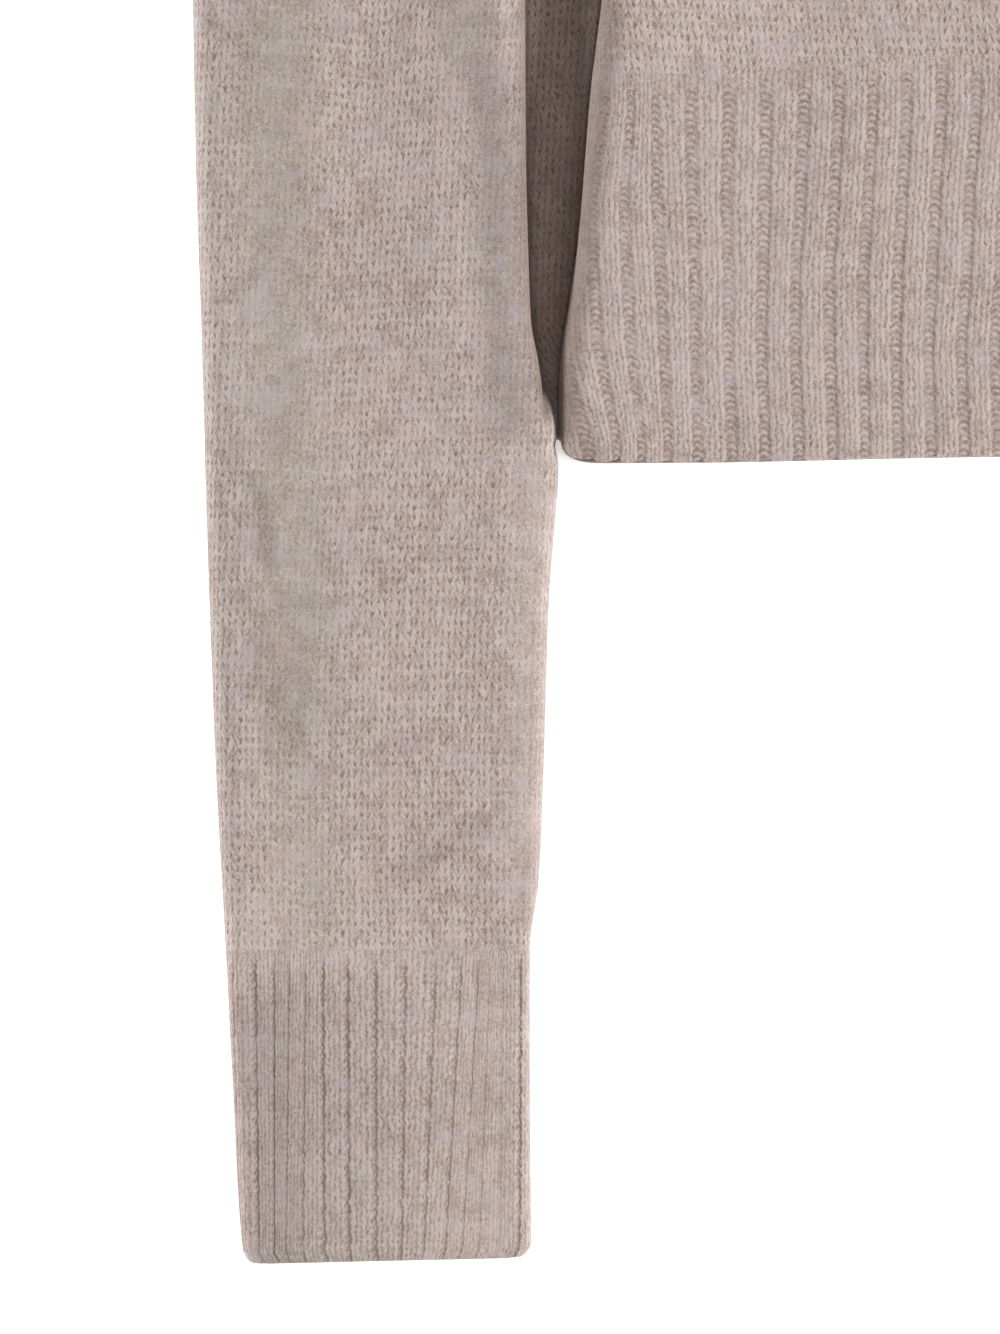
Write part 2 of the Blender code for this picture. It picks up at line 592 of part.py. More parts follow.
def main():
    for old in list(bpy.data.objects):
        bpy.data.objects.remove(old)
    hem_rib("hem_rib_front", upper=True)
    hem_rib("hem_rib_back", upper=False)
    panel("front", FRONT_NECK_DROP, upper=True, neck_turn=degrees(0, 90, 10))
    panel("back", BACK_NECK_DROP, upper=False, neck_turn=math.pi / 2 * np.sin(degrees(0, 90, 8)))
    neckband()
    for name, turned in (("right", False), ("left", True)):
        sleeve(f"sleeve_{name}", turned)
        cuff(f"cuff_{name}", turned)


main()
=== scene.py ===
import math

import bpy
import numpy as np
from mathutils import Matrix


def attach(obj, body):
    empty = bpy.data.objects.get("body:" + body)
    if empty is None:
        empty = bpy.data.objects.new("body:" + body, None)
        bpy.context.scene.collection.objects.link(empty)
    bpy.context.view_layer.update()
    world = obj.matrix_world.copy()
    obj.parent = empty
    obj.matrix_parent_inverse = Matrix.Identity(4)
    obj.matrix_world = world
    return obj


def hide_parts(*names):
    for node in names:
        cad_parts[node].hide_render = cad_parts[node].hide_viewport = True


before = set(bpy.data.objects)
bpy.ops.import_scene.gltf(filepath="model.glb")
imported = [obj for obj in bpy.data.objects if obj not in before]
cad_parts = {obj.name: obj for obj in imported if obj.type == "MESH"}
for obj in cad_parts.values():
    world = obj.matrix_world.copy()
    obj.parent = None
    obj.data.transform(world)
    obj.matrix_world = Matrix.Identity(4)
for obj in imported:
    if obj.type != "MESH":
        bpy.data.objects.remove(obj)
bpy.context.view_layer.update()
print("frame:", ", ".join(sorted(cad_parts)))

# Metres. A height is measured up the body from its bottom edge, a width from its centre line, and a run
# from the centre line across the cloth and on round the rolled side.
sweater = {
    "lengthMiddle": 0.0845,  # the height that lies at Y = 0
    "wall": 0.0022,
    "seam": 0.0003,
    "wale": 0.0039,  # one stitch across, and one row of them
    "course": 0.0032,
    "edgeRound": 0.0011,
    "edgeEase": 0.0014,  # the rows stand closer together this far from a free edge
    "sharpAngle": 55,
}
side = {  # under is how far the side seam is carried round
    "height": [0.0, 0.012, 0.034, 0.049, 0.076, 0.107, 0.139, 0.160, 0.178, 0.350],
    "halfWidth": [0.2412, 0.2409, 0.2394, 0.2370, 0.2336, 0.2313, 0.2274, 0.2252, 0.2240, 0.2220],
    "roll": [0.0062, 0.0070] + 7 * [0.0080] + [0.0055],
    "under": [0.0, 0.003, 0.007, 0.010, 0.015, 0.021, 0.013, 0.004, 0.0, 0.0],
}
body = {
    "middle": 0.0056,  # height of its upper side where the two panels lie on each other
    "slopeAway": 0.050,
    "underarm": 0.178,
    "armholeEase": 0.014,
    "shoulderTip": 0.350,
    "neckPoint": 0.391,
    "neckHalf": 0.092,
    "neckRound": 0.85,
    "frontNeckDrop": 0.085,
    "backNeckDrop": 0.022,
    "stitchLean": 0.085,
}


def readTable(table, key, column, at):
    # a column of a table on a monotone cubic curve through its rows, held still beyond its ends
    knots, values = np.array(table[key], float), np.array(table[column], float)
    steps = np.diff(knots)
    slopes = np.diff(values) / steps
    products = slopes[:-1] * slopes[1:]
    sums = np.where(products > 0, slopes[:-1] + slopes[1:], 1.0)
    inner = np.where(products > 0, 2 * products / sums, 0.0)
    tangents = np.concatenate([slopes[:1], inner, slopes[-1:]])
    at = np.clip(at, knots[0], knots[-1])
    i = np.clip(np.searchsorted(knots, at, side="right") - 1, 0, len(steps) - 1)
    t = (at - knots[i]) / steps[i]
    ends = values[i] * (1 + 2 * t) * (1 - t) ** 2 + values[i + 1] * t * t * (3 - 2 * t)
    return ends + steps[i] * (tangents[i] * t * (1 - t) ** 2 - tangents[i + 1] * t * t * (1 - t))


def ramp(value, low, high):
    # 0 below low, 1 above high, a soft S between
    t = np.clip((value - low) / (high - low), 0.0, 1.0)
    return t * t * (3 - 2 * t)


def mix(a, b, share):
    return a + (b - a) * share


def pairs(x, z):
    return np.stack(np.broadcast_arrays(x, z), axis=-1)


def unit(vectors):
    return vectors / np.maximum(np.linalg.norm(vectors, axis=-1, keepdims=True), 1e-12)


def lengths(points, axis):
    # distance travelled along a grid's lines
    steps = np.linalg.norm(np.diff(points, axis=axis), axis=-1)
    start = np.zeros_like(np.take(steps, [0], axis))
    return np.concatenate([start, np.cumsum(steps, axis)], axis)


def outward(points, ring=False):
    # the cross product of the ways across and up, each halfway between the steps before and after a point
    def tangent(axis, closed):
        if closed:
            steps = unit(np.roll(points, -1, axis) - points)
            return unit(steps + np.roll(steps, 1, axis))
        steps = unit(np.diff(points, axis=axis))
        before = np.concatenate([np.take(steps, [0], axis), steps], axis)
        after = np.concatenate([steps, np.take(steps, [-1], axis)], axis)
        return unit(before + after)

    return unit(np.cross(tangent(1, ring), tangent(0, False)))


# Each crease is a soft trough, or a ridge where its depth is negative: width, depth, path over the plan
creases = {
    "front": [
        (0.011, 0.0011, (-0.215, 0.185), (-0.185, 0.205), (-0.150, 0.232)),
        (0.014, 0.0008, (-0.213, 0.240), (-0.175, 0.246), (-0.140, 0.262)),
        (0.012, 0.0010, (0.216, 0.178), (0.190, 0.196), (0.163, 0.226)),
        (0.015, 0.0008, (0.210, 0.262), (0.172, 0.258), (0.128, 0.275)),
        (0.018, 0.0007, (-0.075, 0.150), (-0.050, 0.205), (-0.043, 0.262)),
        (0.016, 0.0007, (0.062, 0.140), (0.078, 0.190), (0.066, 0.236)),
        (0.012, 0.0007, (-0.150, 0.310), (-0.110, 0.330)),
        (0.012, 0.0007, (0.158, 0.305), (0.120, 0.334)),
    ],
    "right": [
        (0.006, 0.0013, (-0.2646, 0.190), (-0.2646, 0.052), (-0.262, 0.025)),
        (0.007, -0.0006, (-0.2760, 0.160), (-0.2775, 0.045)),
        (0.009, 0.0007, (-0.2960, 0.130), (-0.3090, 0.060), (-0.3130, -0.040)),
        (0.008, 0.0016, (-0.2440, 0.172), (-0.2700, 0.196), (-0.3020, 0.210)),
        (0.009, 0.0014, (-0.2400, 0.186), (-0.2600, 0.218), (-0.2830, 0.252)),
        (0.009, 0.0010, (-0.2370, 0.214), (-0.2500, 0.252), (-0.2600, 0.290)),
        (0.012, 0.0006, (-0.2600, -0.095), (-0.2900, -0.112), (-0.3200, -0.104)),
    ],
    "left": [
        (0.006, 0.0012, (0.2640, 0.186), (0.2655, 0.060), (0.2630, 0.020)),
        (0.007, -0.0006, (0.2770, 0.150), (0.2765, 0.055)),
        (0.010, 0.0007, (0.2980, 0.120), (0.3075, 0.050), (0.3110, -0.055)),
        (0.009, 0.0015, (0.2430, 0.175), (0.2720, 0.190), (0.3080, 0.198)),
        (0.008, 0.0013, (0.2390, 0.190), (0.2640, 0.214), (0.2900, 0.240)),
        (0.010, 0.0010, (0.2350, 0.222), (0.2450, 0.262), (0.2500, 0.296)),
        (0.012, 0.0006, (0.2650, -0.080), (0.2930, -0.098), (0.3180, -0.086)),
    ],
}


def mirrored(places):
    return [(*place[:3], *((-x, y) for x, y in place[3:])) for place in places]


def bothSides(places):
    return places + mirrored(places)


# Painted shading and some real wear at places: width, how far the nap hides the stitches, what multiplies the
# wool's colour, and the path. Most tints are painted shade or painted highlight on folds, edges and the
# recess;
# the two broad patches on the front are brushed nap.
paintedShadingAndWear = {
    "right": [
        # painted shade along the sleeve's broad valley, with a greenish tint
        (0.0135, 0.95, (0.905, 0.945, 0.93),
         (-0.316, 0.290), (-0.324, 0.200), (-0.325, 0.060), (-0.321, -0.020), (-0.319, -0.070)),
        (0.011, 0.55, (0.93, 0.965, 0.95), (-0.319, -0.078), (-0.316, -0.146)),
        # painted shade on the slope that falls away beyond the fold's crest
        (0.0085, 0.95, (0.86, 0.875, 0.90),
         (-0.282, 0.240), (-0.274, 0.170), (-0.269, 0.134), (-0.262, 0.108), (-0.258, 0.080),
         (-0.257, 0.045), (-0.255, 0.012)),
        # painted highlight on the fold's rim
        (0.003, 0.5, (1.12, 1.12, 1.12), (-0.257, 0.145), (-0.256, 0.118)),
        # painted shade where the fold's edge turns under
        (0.0024, 0.8, (0.66, 0.63, 0.61),
         (-0.2507, 0.150), (-0.2502, 0.060), (-0.2480, 0.040), (-0.2440, 0.014)),
        # painted shade in the recess beside the body, under the fold
        (0.0050, 0.6, (0.62, 0.57, 0.54),
         (-0.2290, 0.150), (-0.2320, 0.110), (-0.2365, 0.060), (-0.2400, 0.020)),
        # painted warm cast of light bounced about in the recess's shade
        (0.0060, 0.0, (0.97, 0.87, 0.82), (-0.2410, 0.150), (-0.2425, 0.100), (-0.2440, 0.040)),
        # painted highlight on the sleeve's low inner edge
        (0.0075, 0.95, (1.08, 1.09, 1.10), (-0.2500, -0.004), (-0.2495, -0.030), (-0.2510, -0.130)),
        # darker short marks low on the sleeve
        (0.0028, 0.0, (0.80, 0.79, 0.78), (-0.3300, -0.010), (-0.3265, -0.030)),
        (0.005, 0.0, (0.90, 0.88, 0.87), (-0.3270, -0.054), (-0.3225, -0.088)),
        (0.004, 0.0, (0.87, 0.85, 0.85), (-0.2890, -0.123), (-0.2620, -0.108)),
        (0.003, 0.0, (0.88, 0.85, 0.85), (-0.2930, -0.085), (-0.2800, -0.082)),
        # a slightly darker, brushed spot on the outer part
        (0.005, 0.3, (0.93, 0.93, 0.92), (-0.333, 0.130), (-0.333, 0.100)),
        # painted shade along the outer edge
        (0.006, 0.0, (0.93, 0.945, 0.95),
         (-0.345, 0.180), (-0.344, 0.060), (-0.341, -0.060), (-0.339, -0.130)),
        # painted highlight on the low inner edge
        (0.006, 0.0, (1.06, 1.08, 1.08), (-0.250, -0.020), (-0.253, -0.110)),
    ],
    "cuffRight": [
        # painted shade on the cuff's outer part
        (0.013, 0.25, (0.80, 0.81, 0.805), (-0.326, -0.166), (-0.323, -0.241)),
        # painted shade along the cuff's middle
        (0.018, 0.1, (0.91, 0.92, 0.92), (-0.302, -0.172), (-0.298, -0.241)),
        # painted highlight on the cuff's inner part
        (0.011, 0.6, (1.07, 1.08, 1.07), (-0.265, -0.166), (-0.268, -0.241)),
    ],
    "front": bothSides([
        # painted shade on the body's rolled side
        (0.0042, 0.9, (0.70, 0.68, 0.66), (-0.2240, 0.175), (-0.2258, 0.140), (-0.2280, 0.112)),
    ]) + [
        (0.020, 0.7, (0.95, 0.97, 0.96), (-0.150, 0.190), (-0.060, 0.240)),
        (0.020, 0.7, (0.95, 0.96, 0.97), (0.080, 0.170), (0.165, 0.250)),
    ],
    "hem": bothSides([
        # painted shade on the rib's rolled side
        (0.0042, 0.9, (0.70, 0.68, 0.66),
         (-0.2278, 0.118), (-0.2320, 0.076), (-0.2352, 0.049), (-0.2385, 0.020), (-0.2390, 0.010)),
        # slightly darker over a broad band towards the side
        (0.040, 0.0, (0.95, 0.955, 0.96), (-0.200, 0.100), (-0.205, 0.020)),
        # painted shade where the hem's corner rounds away
        (0.006, 0.2, (0.80, 0.775, 0.765), (-0.2400, 0.012), (-0.2330, 0.002)),
    ]),
}


def nearness(points, path, width):
    # exp(-(distance / width)^2) to a path drawn over the plan
    x, y = points[..., 0], points[..., 1]
    near = np.full(x.shape, np.inf)
    for (ax, ay), (bx, by) in zip(path, path[1:]):
        t = ((x - ax) * (bx - ax) + (y - ay) * (by - ay)) / ((bx - ax) ** 2 + (by - ay) ** 2)
        t = np.clip(t, 0.0, 1.0)
        near = np.minimum(near, np.hypot(x - ax - t * (bx - ax), y - ay - t * (by - ay)))
    return np.exp(-((near / width) ** 2))


def creased(points, facing, folds):
    # each point sinks by the sum of depth * nearness, where the cloth faces up
    drop = sum(depth * nearness(points, path, width) for width, depth, *path in folds)
    moved = points.copy()
    moved[..., 2] -= drop * ramp(facing[..., 2], 0.2, 0.8)
    return moved


def paintedShadingAndWearOf(points, places):
    # colour multiplied by 1 + (tint - 1) * nearness, mostly painted shade and highlight, and the brushed
    # share as the fourth number
    paintedShadingAndWearTint = np.ones((*points.shape[:2], 4))
    paintedShadingAndWearTint[..., 3] = 0.0
    for width, brushed, tint, *path in places:
        near = nearness(points, path, width)
        paintedShadingAndWearTint[..., :3] *= 1 + (np.array(tint) - 1) * near[..., None]
        paintedShadingAndWearTint[..., 3] = np.maximum(paintedShadingAndWearTint[..., 3], brushed * near)
    return paintedShadingAndWearTint


# A wall of cloth: the grid is its outside, the inside lies one wall further in, and rims close the two.
# fullness runs from 1 to 0 towards a free edge, where the wall's two sides close in on its middle.
def shell(name, points, facing, uv, materials, nodes, places=(), fullness=1.0, ribbing=1.0, ring=False):
    rows, columns = points.shape[:2]
    paintedShadingAndWearTint = paintedShadingAndWearOf(points, places).reshape(-1, 4)
    ribbing = np.broadcast_to(ribbing, (rows, columns)).ravel()
    fullness = np.broadcast_to(fullness, (rows, columns))[..., None]
    half = sweater["wall"] / 2
    outside = points - facing * half * (1 - fullness)
    inside = points - facing * half * (1 + fullness)
    vertices = np.concatenate([outside.reshape(-1, 3), inside.reshape(-1, 3)])
    vertices[:, 1] -= sweater["lengthMiddle"]
    count = rows * columns
    uvColumns = uv.shape[1]
    at = np.arange(rows)[:, None] * columns + np.arange(uvColumns) % columns
    uvAt = np.arange(rows * uvColumns).reshape(rows, uvColumns)

    def quads(grid, shift, turned):
        corners = [grid[:-1, :-1], grid[:-1, 1:], grid[1:, 1:], grid[1:, :-1]]
        return np.stack(corners[::-1] if turned else corners, axis=-1).reshape(-1, 4) + shift

    def rim(line, turned):
        ends = [line[1:], line[:-1]]
        return ends[::-1] if turned else ends

    faces = [quads(at, 0, False), quads(at, count, True)]
    faceUv = [quads(uvAt, 0, False), quads(uvAt, 0, True)]
    slots = [np.zeros(len(faces[0]), int), np.ones(len(faces[1]), int)]
    lines = [(at[0], uvAt[0], False), (at[-1], uvAt[-1], True)]
    if not ring:
        lines += [(at[:, 0], uvAt[:, 0], True), (at[:, -1], uvAt[:, -1], False)]
    for line, uvLine, turned in lines:
        (a, b), (ua, ub) = rim(line, turned), rim(uvLine, turned)
        faces.append(np.stack([a, b, b + count, a + count], axis=-1))
        faceUv.append(np.stack([ua, ub, ub, ua], axis=-1))
        slots.append(np.zeros(len(a), int))
    faces, faceUv, slots = (np.concatenate(x) for x in (faces, faceUv, slots))
    mesh = bpy.data.meshes.new(name)
    mesh.from_pydata(vertices.tolist(), [], faces.tolist())
    layer = mesh.uv_layers.new(name="stitches")
    layer.data.foreach_set("uv", uv.reshape(-1, 2)[faceUv.ravel()].astype(np.float32).ravel())
    # the tints go on as a colour attribute: painted shade and highlight, with the brushed share of real wear
    paintedShadingAndWearColour = mesh.color_attributes.new("paintedShadingAndWearTint", "FLOAT_COLOR", "POINT")
    paintedShadingAndWearColour.data.foreach_set("color", np.concatenate([paintedShadingAndWearTint, paintedShadingAndWearTint]).astype(np.float32).ravel())
    ribShare = mesh.attributes.new("ribbing", "FLOAT", "POINT")
    ribShare.data.foreach_set("value", np.concatenate([ribbing, ribbing]).astype(np.float32))
    for material in materials:
        mesh.materials.append(material)
    mesh.polygons.foreach_set("material_index", slots.astype(np.int32))
    mesh.shade_smooth()
    mesh.set_sharp_from_angle(angle=math.radians(sweater["sharpAngle"]))
    piece = bpy.data.objects.new(name, mesh)
    bpy.context.scene.collection.objects.link(piece)
    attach(piece, "root")
    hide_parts(*nodes)
    patches = np.cross(np.diff(points[:-1], axis=1), np.diff(points[:, :-1], axis=0))
    print(f"{name}: {2 * len(faces)} triangles, {np.linalg.norm(patches, axis=-1).sum():.4f} m2,",
          f"{lengths(points, 1)[:, -1].max():.3f} m across")
    return piece


def closing(distance):
    # how full the wall still is at a distance from its free edge, a quarter circle
    t = np.clip(1 - distance / sweater["edgeRound"], 0.0, 1.0)
    return np.sqrt(1 - t * t)


def edgeSteps(count, length):
    # shares of a length, with the first few close together for a rounded edge
    near = np.array([0.0, 0.12, 0.45, 1.0]) * sweater["edgeEase"] / length
    return np.concatenate([near, np.linspace(near[-1], 1.0, count - 3)[1:]])


def withMirror(grid, turned):
    # a grid that starts at the centre line, joined to its mirror image
    return np.concatenate([grid[:, :0:-1] * turned, grid], axis=1)


# Body


def halfWidth(height):
    return readTable(side, "height", "halfWidth", height)


def sideRoll(height):
    return readTable(side, "height", "roll", height)


def sideOpen(height):
    # 0 where the side is a closed roll, 1 where it has opened into the armhole
    share = np.clip((height - body["underarm"]) / body["armholeEase"], 0.0, 1.0)
    return np.sqrt(1 - (1 - share) ** 2)


def bodyTop(run, height):
    flat = halfWidth(height) - sideRoll(height)
    return mix(body["middle"], 2 * sideRoll(height), ramp(np.abs(run), flat - body["slopeAway"], flat))


def sideShape(height, run, upper):
    # flat out to the roll, then roll * (sin, cos) of the turn round it, then back along the other side
    roll = sideRoll(height)
    flat = halfWidth(height) - roll
    turn = np.clip((run - flat) / roll, 0.0, math.pi)
    beyond = np.maximum(run - flat - math.pi * roll, 0.0)
    drop = roll * (1 - np.cos(turn)) * (1 - sideOpen(height))
    z = np.maximum(bodyTop(run, height) - drop, 0.0) if upper else drop
    return np.stack([np.minimum(run, flat) + roll * np.sin(turn) - beyond, height, z], axis=-1)


def shoulderSlope():
    fall = body["neckPoint"] - body["shoulderTip"]
    return fall / (halfWidth(body["shoulderTip"]) - body["neckHalf"])


def bodySurface(height, run, upper):
    # the side's shape, with its top drawn in to the shoulder line on half an ellipse
    way, step, rise = (1 if upper else -1), 0.00001, 0.001
    height, run = np.broadcast_arrays(height, run)
    points = sideShape(height, run, upper)
    across = sideShape(height, run + step, upper) - sideShape(height, run - step, upper)
    upward = sideShape(height + rise, run, upper) - sideShape(height - rise, run, upper)
    facing = way * unit(np.cross(across, upward))
    opened = sideOpen(height)[..., None]
    facing = np.where(opened < 1, unit(facing * (1 - opened) + opened * np.array([0, 0, way])), facing)
    slope = shoulderSlope()
    toShoulder = body["neckPoint"] - height - slope * (points[..., 0] - body["neckHalf"])
    top = bodyTop(run, height)
    rounding = np.clip(1 - toShoulder / math.hypot(1, slope) / (top / 2), 0.0, 1.0)
    flatness = np.sqrt(1 - rounding**2)
    middle = (top + way * sweater["seam"]) / 2
    points[..., 2] = middle + (points[..., 2] - middle) * flatness
    facing = unit(facing * flatness[..., None] + np.array([0, 1, 0]) * rounding[..., None])
    return points, facing


def neckCurve(turn, half, drop):
    # width = half * sin, depth = drop * cos, both cut off short of the quarter turn
    end = body["neckRound"] * math.pi / 2
    low = (np.cos(body["neckRound"] * turn) - math.cos(end)) / (1 - math.cos(end))
    return half * np.sin(body["neckRound"] * turn) / math.sin(end), drop * low


def seamRun(height, upper):
    toSide = halfWidth(height) - sideRoll(height) * (1 - math.pi / 2)
    under = readTable(side, "height", "under", height)
    return toSide + (under if upper else -under) - sweater["seam"] / 2


hem = {
    "depth": 0.116,
    "topRise": 0.007,
    "bottomRise": 0.0018,
    "cornerWidth": 0.0125,
    "cornerHeight": 0.0066,
    "repeat": 0.01015,
    "repeats": 24,
    "columns": 16,  # for each repeat
    "rows": 40,
    "sideColumns": 8,
    "rise": 0.0005,
    "lift": 0.0002,
    "scallop": 0.0009,
    "scallopShare": 0.03,  # of the depth, where the scallops fade out
    "course": 0.0021,
    "middle": (0.10, 0.21),  # both edges rise towards the middle between these runs
    "seamFade": (-0.001, 0.009),  # the ribs grow out of the top seam
    "facing": (-0.8, 0.7),  # and as the cloth turns upward
    "backStop": 0.012,  # from the back's last even column to its seam
    # how far each rib strays from its even place across the hem, at five heights
    "strayAt": [0.0, 0.117, 0.137, 0.157, 0.167, 0.178, 0.188, 0.198, 0.208, 0.218, 0.228, 0.238, 0.250],
    "strayHeight": [0.0060, 0.0348, 0.0564, 0.0780, 0.1068],
    "stray": [
        [0.0, 0.0, -0.0002, -0.0010, -0.0010, -0.0009, -0.0012,
         -0.0008, -0.0017, -0.0037, -0.0064, -0.0087, -0.0090],
        [0.0, 0.0012, 0.0004, -0.0001, 0.0002, 0.0003, 0.0003,
         0.0001, -0.0005, -0.0007, -0.0010, -0.0010, -0.0010],
        [0.0, -0.0006, -0.0002, 0.0002, 0.0002, -0.0003, 0.0, 0.0001, 0.0004, 0.0005, 0.0002, 0.0, 0.0],
        [0.0, -0.0012, -0.0014, -0.0013, -0.0013, -0.0009, 0.0009,
         0.0007, 0.0016, 0.0014, 0.0005, 0.0, 0.0],
        [0.0, -0.0036, -0.0029, -0.0028, -0.0028, -0.0012, -0.0003,
         0.0013, 0.0025, -0.0004, -0.0031, -0.004, -0.004],
    ],
}


def hemHeight(share, run):
    corner = np.clip((run - halfWidth(0.0) + hem["cornerWidth"]) / hem["cornerWidth"], 0.0, 1.0)
    middle = 1 - ramp(run, *hem["middle"])
    bottom = hem["bottomRise"] * middle + hem["cornerHeight"] * (1 - np.sqrt(1 - corner**2))
    return mix(bottom, hem["depth"] + hem["topRise"] * middle, share)


def ribSection(phase, valley=0.42, rise=0.10):
    # 0 on the knit stitches and -1 in the groove at phase 0: up steeply after it, down again over the purl
    up = ramp(phase, 0.0, rise)
    down = ramp(phase, 1 - valley, 1.0)
    crown = 0.12 * np.sin(np.clip(phase / (1 - valley), 0, 1) * math.pi)
    return up * (1 - 0.42 * ramp(phase, 1 - valley, 1 - 0.7 * valley)) * (1 - down**3) - 1 + crown


def ribStray(rest, height):
    # the table read along the hem, then up it between the two nearest rows
    rows = np.stack([np.interp(rest, hem["strayAt"], row) for row in hem["stray"]])
    level = np.interp(height, hem["strayHeight"], np.arange(len(rows)))
    low = np.clip(level.astype(int), 0, len(rows) - 2)
    column = np.broadcast_to(np.arange(len(rest)), level.shape)
    return rows[low, column] + (rows[low + 1, column] - rows[low, column]) * (level - low)


def hemRib(name, upper, node):
    rest = np.arange(hem["repeats"] * hem["columns"] + 1) * hem["repeat"] / hem["columns"]
    if not upper:
        rest = rest[::4]
    share = edgeSteps(hem["rows"] if upper else hem["rows"] // 2, hem["depth"])[:, None]
    run = rest + ribStray(rest, hemHeight(share, rest))
    end = seamRun(hemHeight(share, halfWidth(0.0)), upper)
    if not upper:
        run = rest / rest[-1] * (end - hem["backStop"])
    more = np.linspace(0, 1, hem["sideColumns"] + 1)[1:]
    sideRun = run[:, -1:] + (end - run[:, -1:]) * more
    rest = np.concatenate([rest + 0 * run, rest[-1] + sideRun - run[:, -1:]], axis=1)
    run = np.concatenate([run, sideRun], axis=1)
    points, facing = bodySurface(hemHeight(share, run), run, upper)
    points, facing = withMirror(points, [-1, 1, 1]), withMirror(facing, [-1, 1, 1])
    rest = withMirror(rest, -1)
    along = rest / hem["repeat"] + 0.5
    ribbing = ramp(hemHeight(1.0, np.abs(rest)) - points[..., 1], *hem["seamFade"])
    if upper:
        section = ribSection(along % 1.0)
        relief = (hem["rise"] * section + hem["lift"]) * ramp(facing[..., 2], *hem["facing"])
        points = points + facing * (relief * ribbing)[..., None]
        points[..., 1] -= hem["scallop"] * section * (1 - ramp(share, 0.0, hem["scallopShare"]))
    uv = np.stack([along, points[..., 1] / hem["course"]], axis=-1)
    fullness = closing(share * hem["depth"]) + 0 * along
    if not upper:
        points, facing, uv, fullness, ribbing = (g[:, ::-1] for g in (points, facing, uv, fullness, ribbing))
    places = paintedShadingAndWear["hem"] if upper else []
    return shell(name, points, facing, uv, [ribWool, insideWool], [node],
                 places, fullness, ribbing)


panel = {
    "neckColumns": 44,
    "shoulderColumns": 52,
    "rollColumns": 16,
    "rows": 92,
    "roundRows": 8,
    "neckShare": 0.45,  # of the width at the rib, below the neck edge
    "leanWidth": 0.08,  # the stitches lean more and more out to this run
    "flatStop": 0.005,  # least run between the flat part and the seam
}


def bodyPanel(name, upper, neckDrop, node, folds, places):
    # columns keep their share of the width from the rib up to the neck edge and the shoulder
    turn = np.linspace(0, math.pi / 2, panel["neckColumns"])
    shares = np.arange(1, panel["shoulderColumns"] + 1) / panel["shoulderColumns"]
    neckShare = panel["neckShare"]
    lowShare = np.linspace(0, neckShare, panel["neckColumns"])
    lowShare = np.concatenate([lowShare, neckShare + (1 - neckShare) * shares])
    flatTop = halfWidth(body["shoulderTip"]) - sideRoll(body["shoulderTip"])
    neckX, below = neckCurve(turn, body["neckHalf"], neckDrop)
    topShare = np.concatenate([neckX, body["neckHalf"] + (flatTop - body["neckHalf"]) * shares]) / flatTop
    rollShare = np.arange(1, panel["rollColumns"] + 1) / panel["rollColumns"]
    first = hem["depth"]

    def across(sideHeight):
        end = seamRun(sideHeight, upper)
        flat = np.minimum(halfWidth(sideHeight) - sideRoll(sideHeight), end - panel["flatStop"])
        share = (sideHeight - first) / (body["shoulderTip"] - first)
        return np.concatenate([flat * mix(lowShare, topShare, share), mix(flat, end, rollShare)], axis=-1)

    slope = shoulderSlope()
    tip = np.array([body["shoulderTip"]])
    topRuns = across(tip)
    topX = sideShape(tip + 0 * topRuns, topRuns, upper)[..., 0]
    topHeight = body["neckPoint"] - slope * (topX - body["neckHalf"])
    topHeight[: panel["neckColumns"]] = body["neckPoint"] - below
    rounded = bodyTop(topRuns, body["shoulderTip"]) / 2 * math.hypot(1, slope)
    start = hemHeight(1.0, across(np.array([first])))
    lastFlat = body["shoulderTip"] - rounded[-1]
    share = np.linspace(0, 1, panel["rows"])[:, None]
    turns = np.linspace(math.pi / 2, 0, panel["roundRows"] + 1)[1:, None]
    short = rounded * (1 - np.cos(turns))
    sideHeights = np.concatenate([first + share * (lastFlat - first), body["shoulderTip"] - short[:, -1:]])
    heights = np.concatenate([start + share * (topHeight - rounded - start), topHeight - short])
    runs = across(sideHeights)
    points, facing = bodySurface(heights, runs, upper)
    lean = body["stitchLean"] * (heights - first)
    stitches = (runs - lean * ramp(runs, 0.0, panel["leanWidth"])) / sweater["wale"]
    points, facing = withMirror(points, [-1, 1, 1]), withMirror(facing, [-1, 1, 1])
    uv = np.stack([withMirror(stitches, -1), points[..., 1] / sweater["course"]], axis=-1)
    if not upper:
        points, facing, uv = points[:, ::-1], facing[:, ::-1], uv[:, ::-1]
    points = creased(points, facing, folds)
    return shell(name, points, facing, uv, [plainWool, insideWool], [node], places)


band = {
    "depth": 0.019,
    "taper": 0.008,
    "clear": 0.0004,
    "inset": 0.0006,
    "dropTaper": 0.005,
    "middle": 0.0032,  # height of the line that it is folded along
    "frontRepeats": 14,  # from the centre line to that fold
    "backRepeats": 10,
    "columns": 12,
    "rows": 12,
    "rise": 0.0008,
    "facing": (-0.8, 0.3),
    "fineSteps": 400,
}


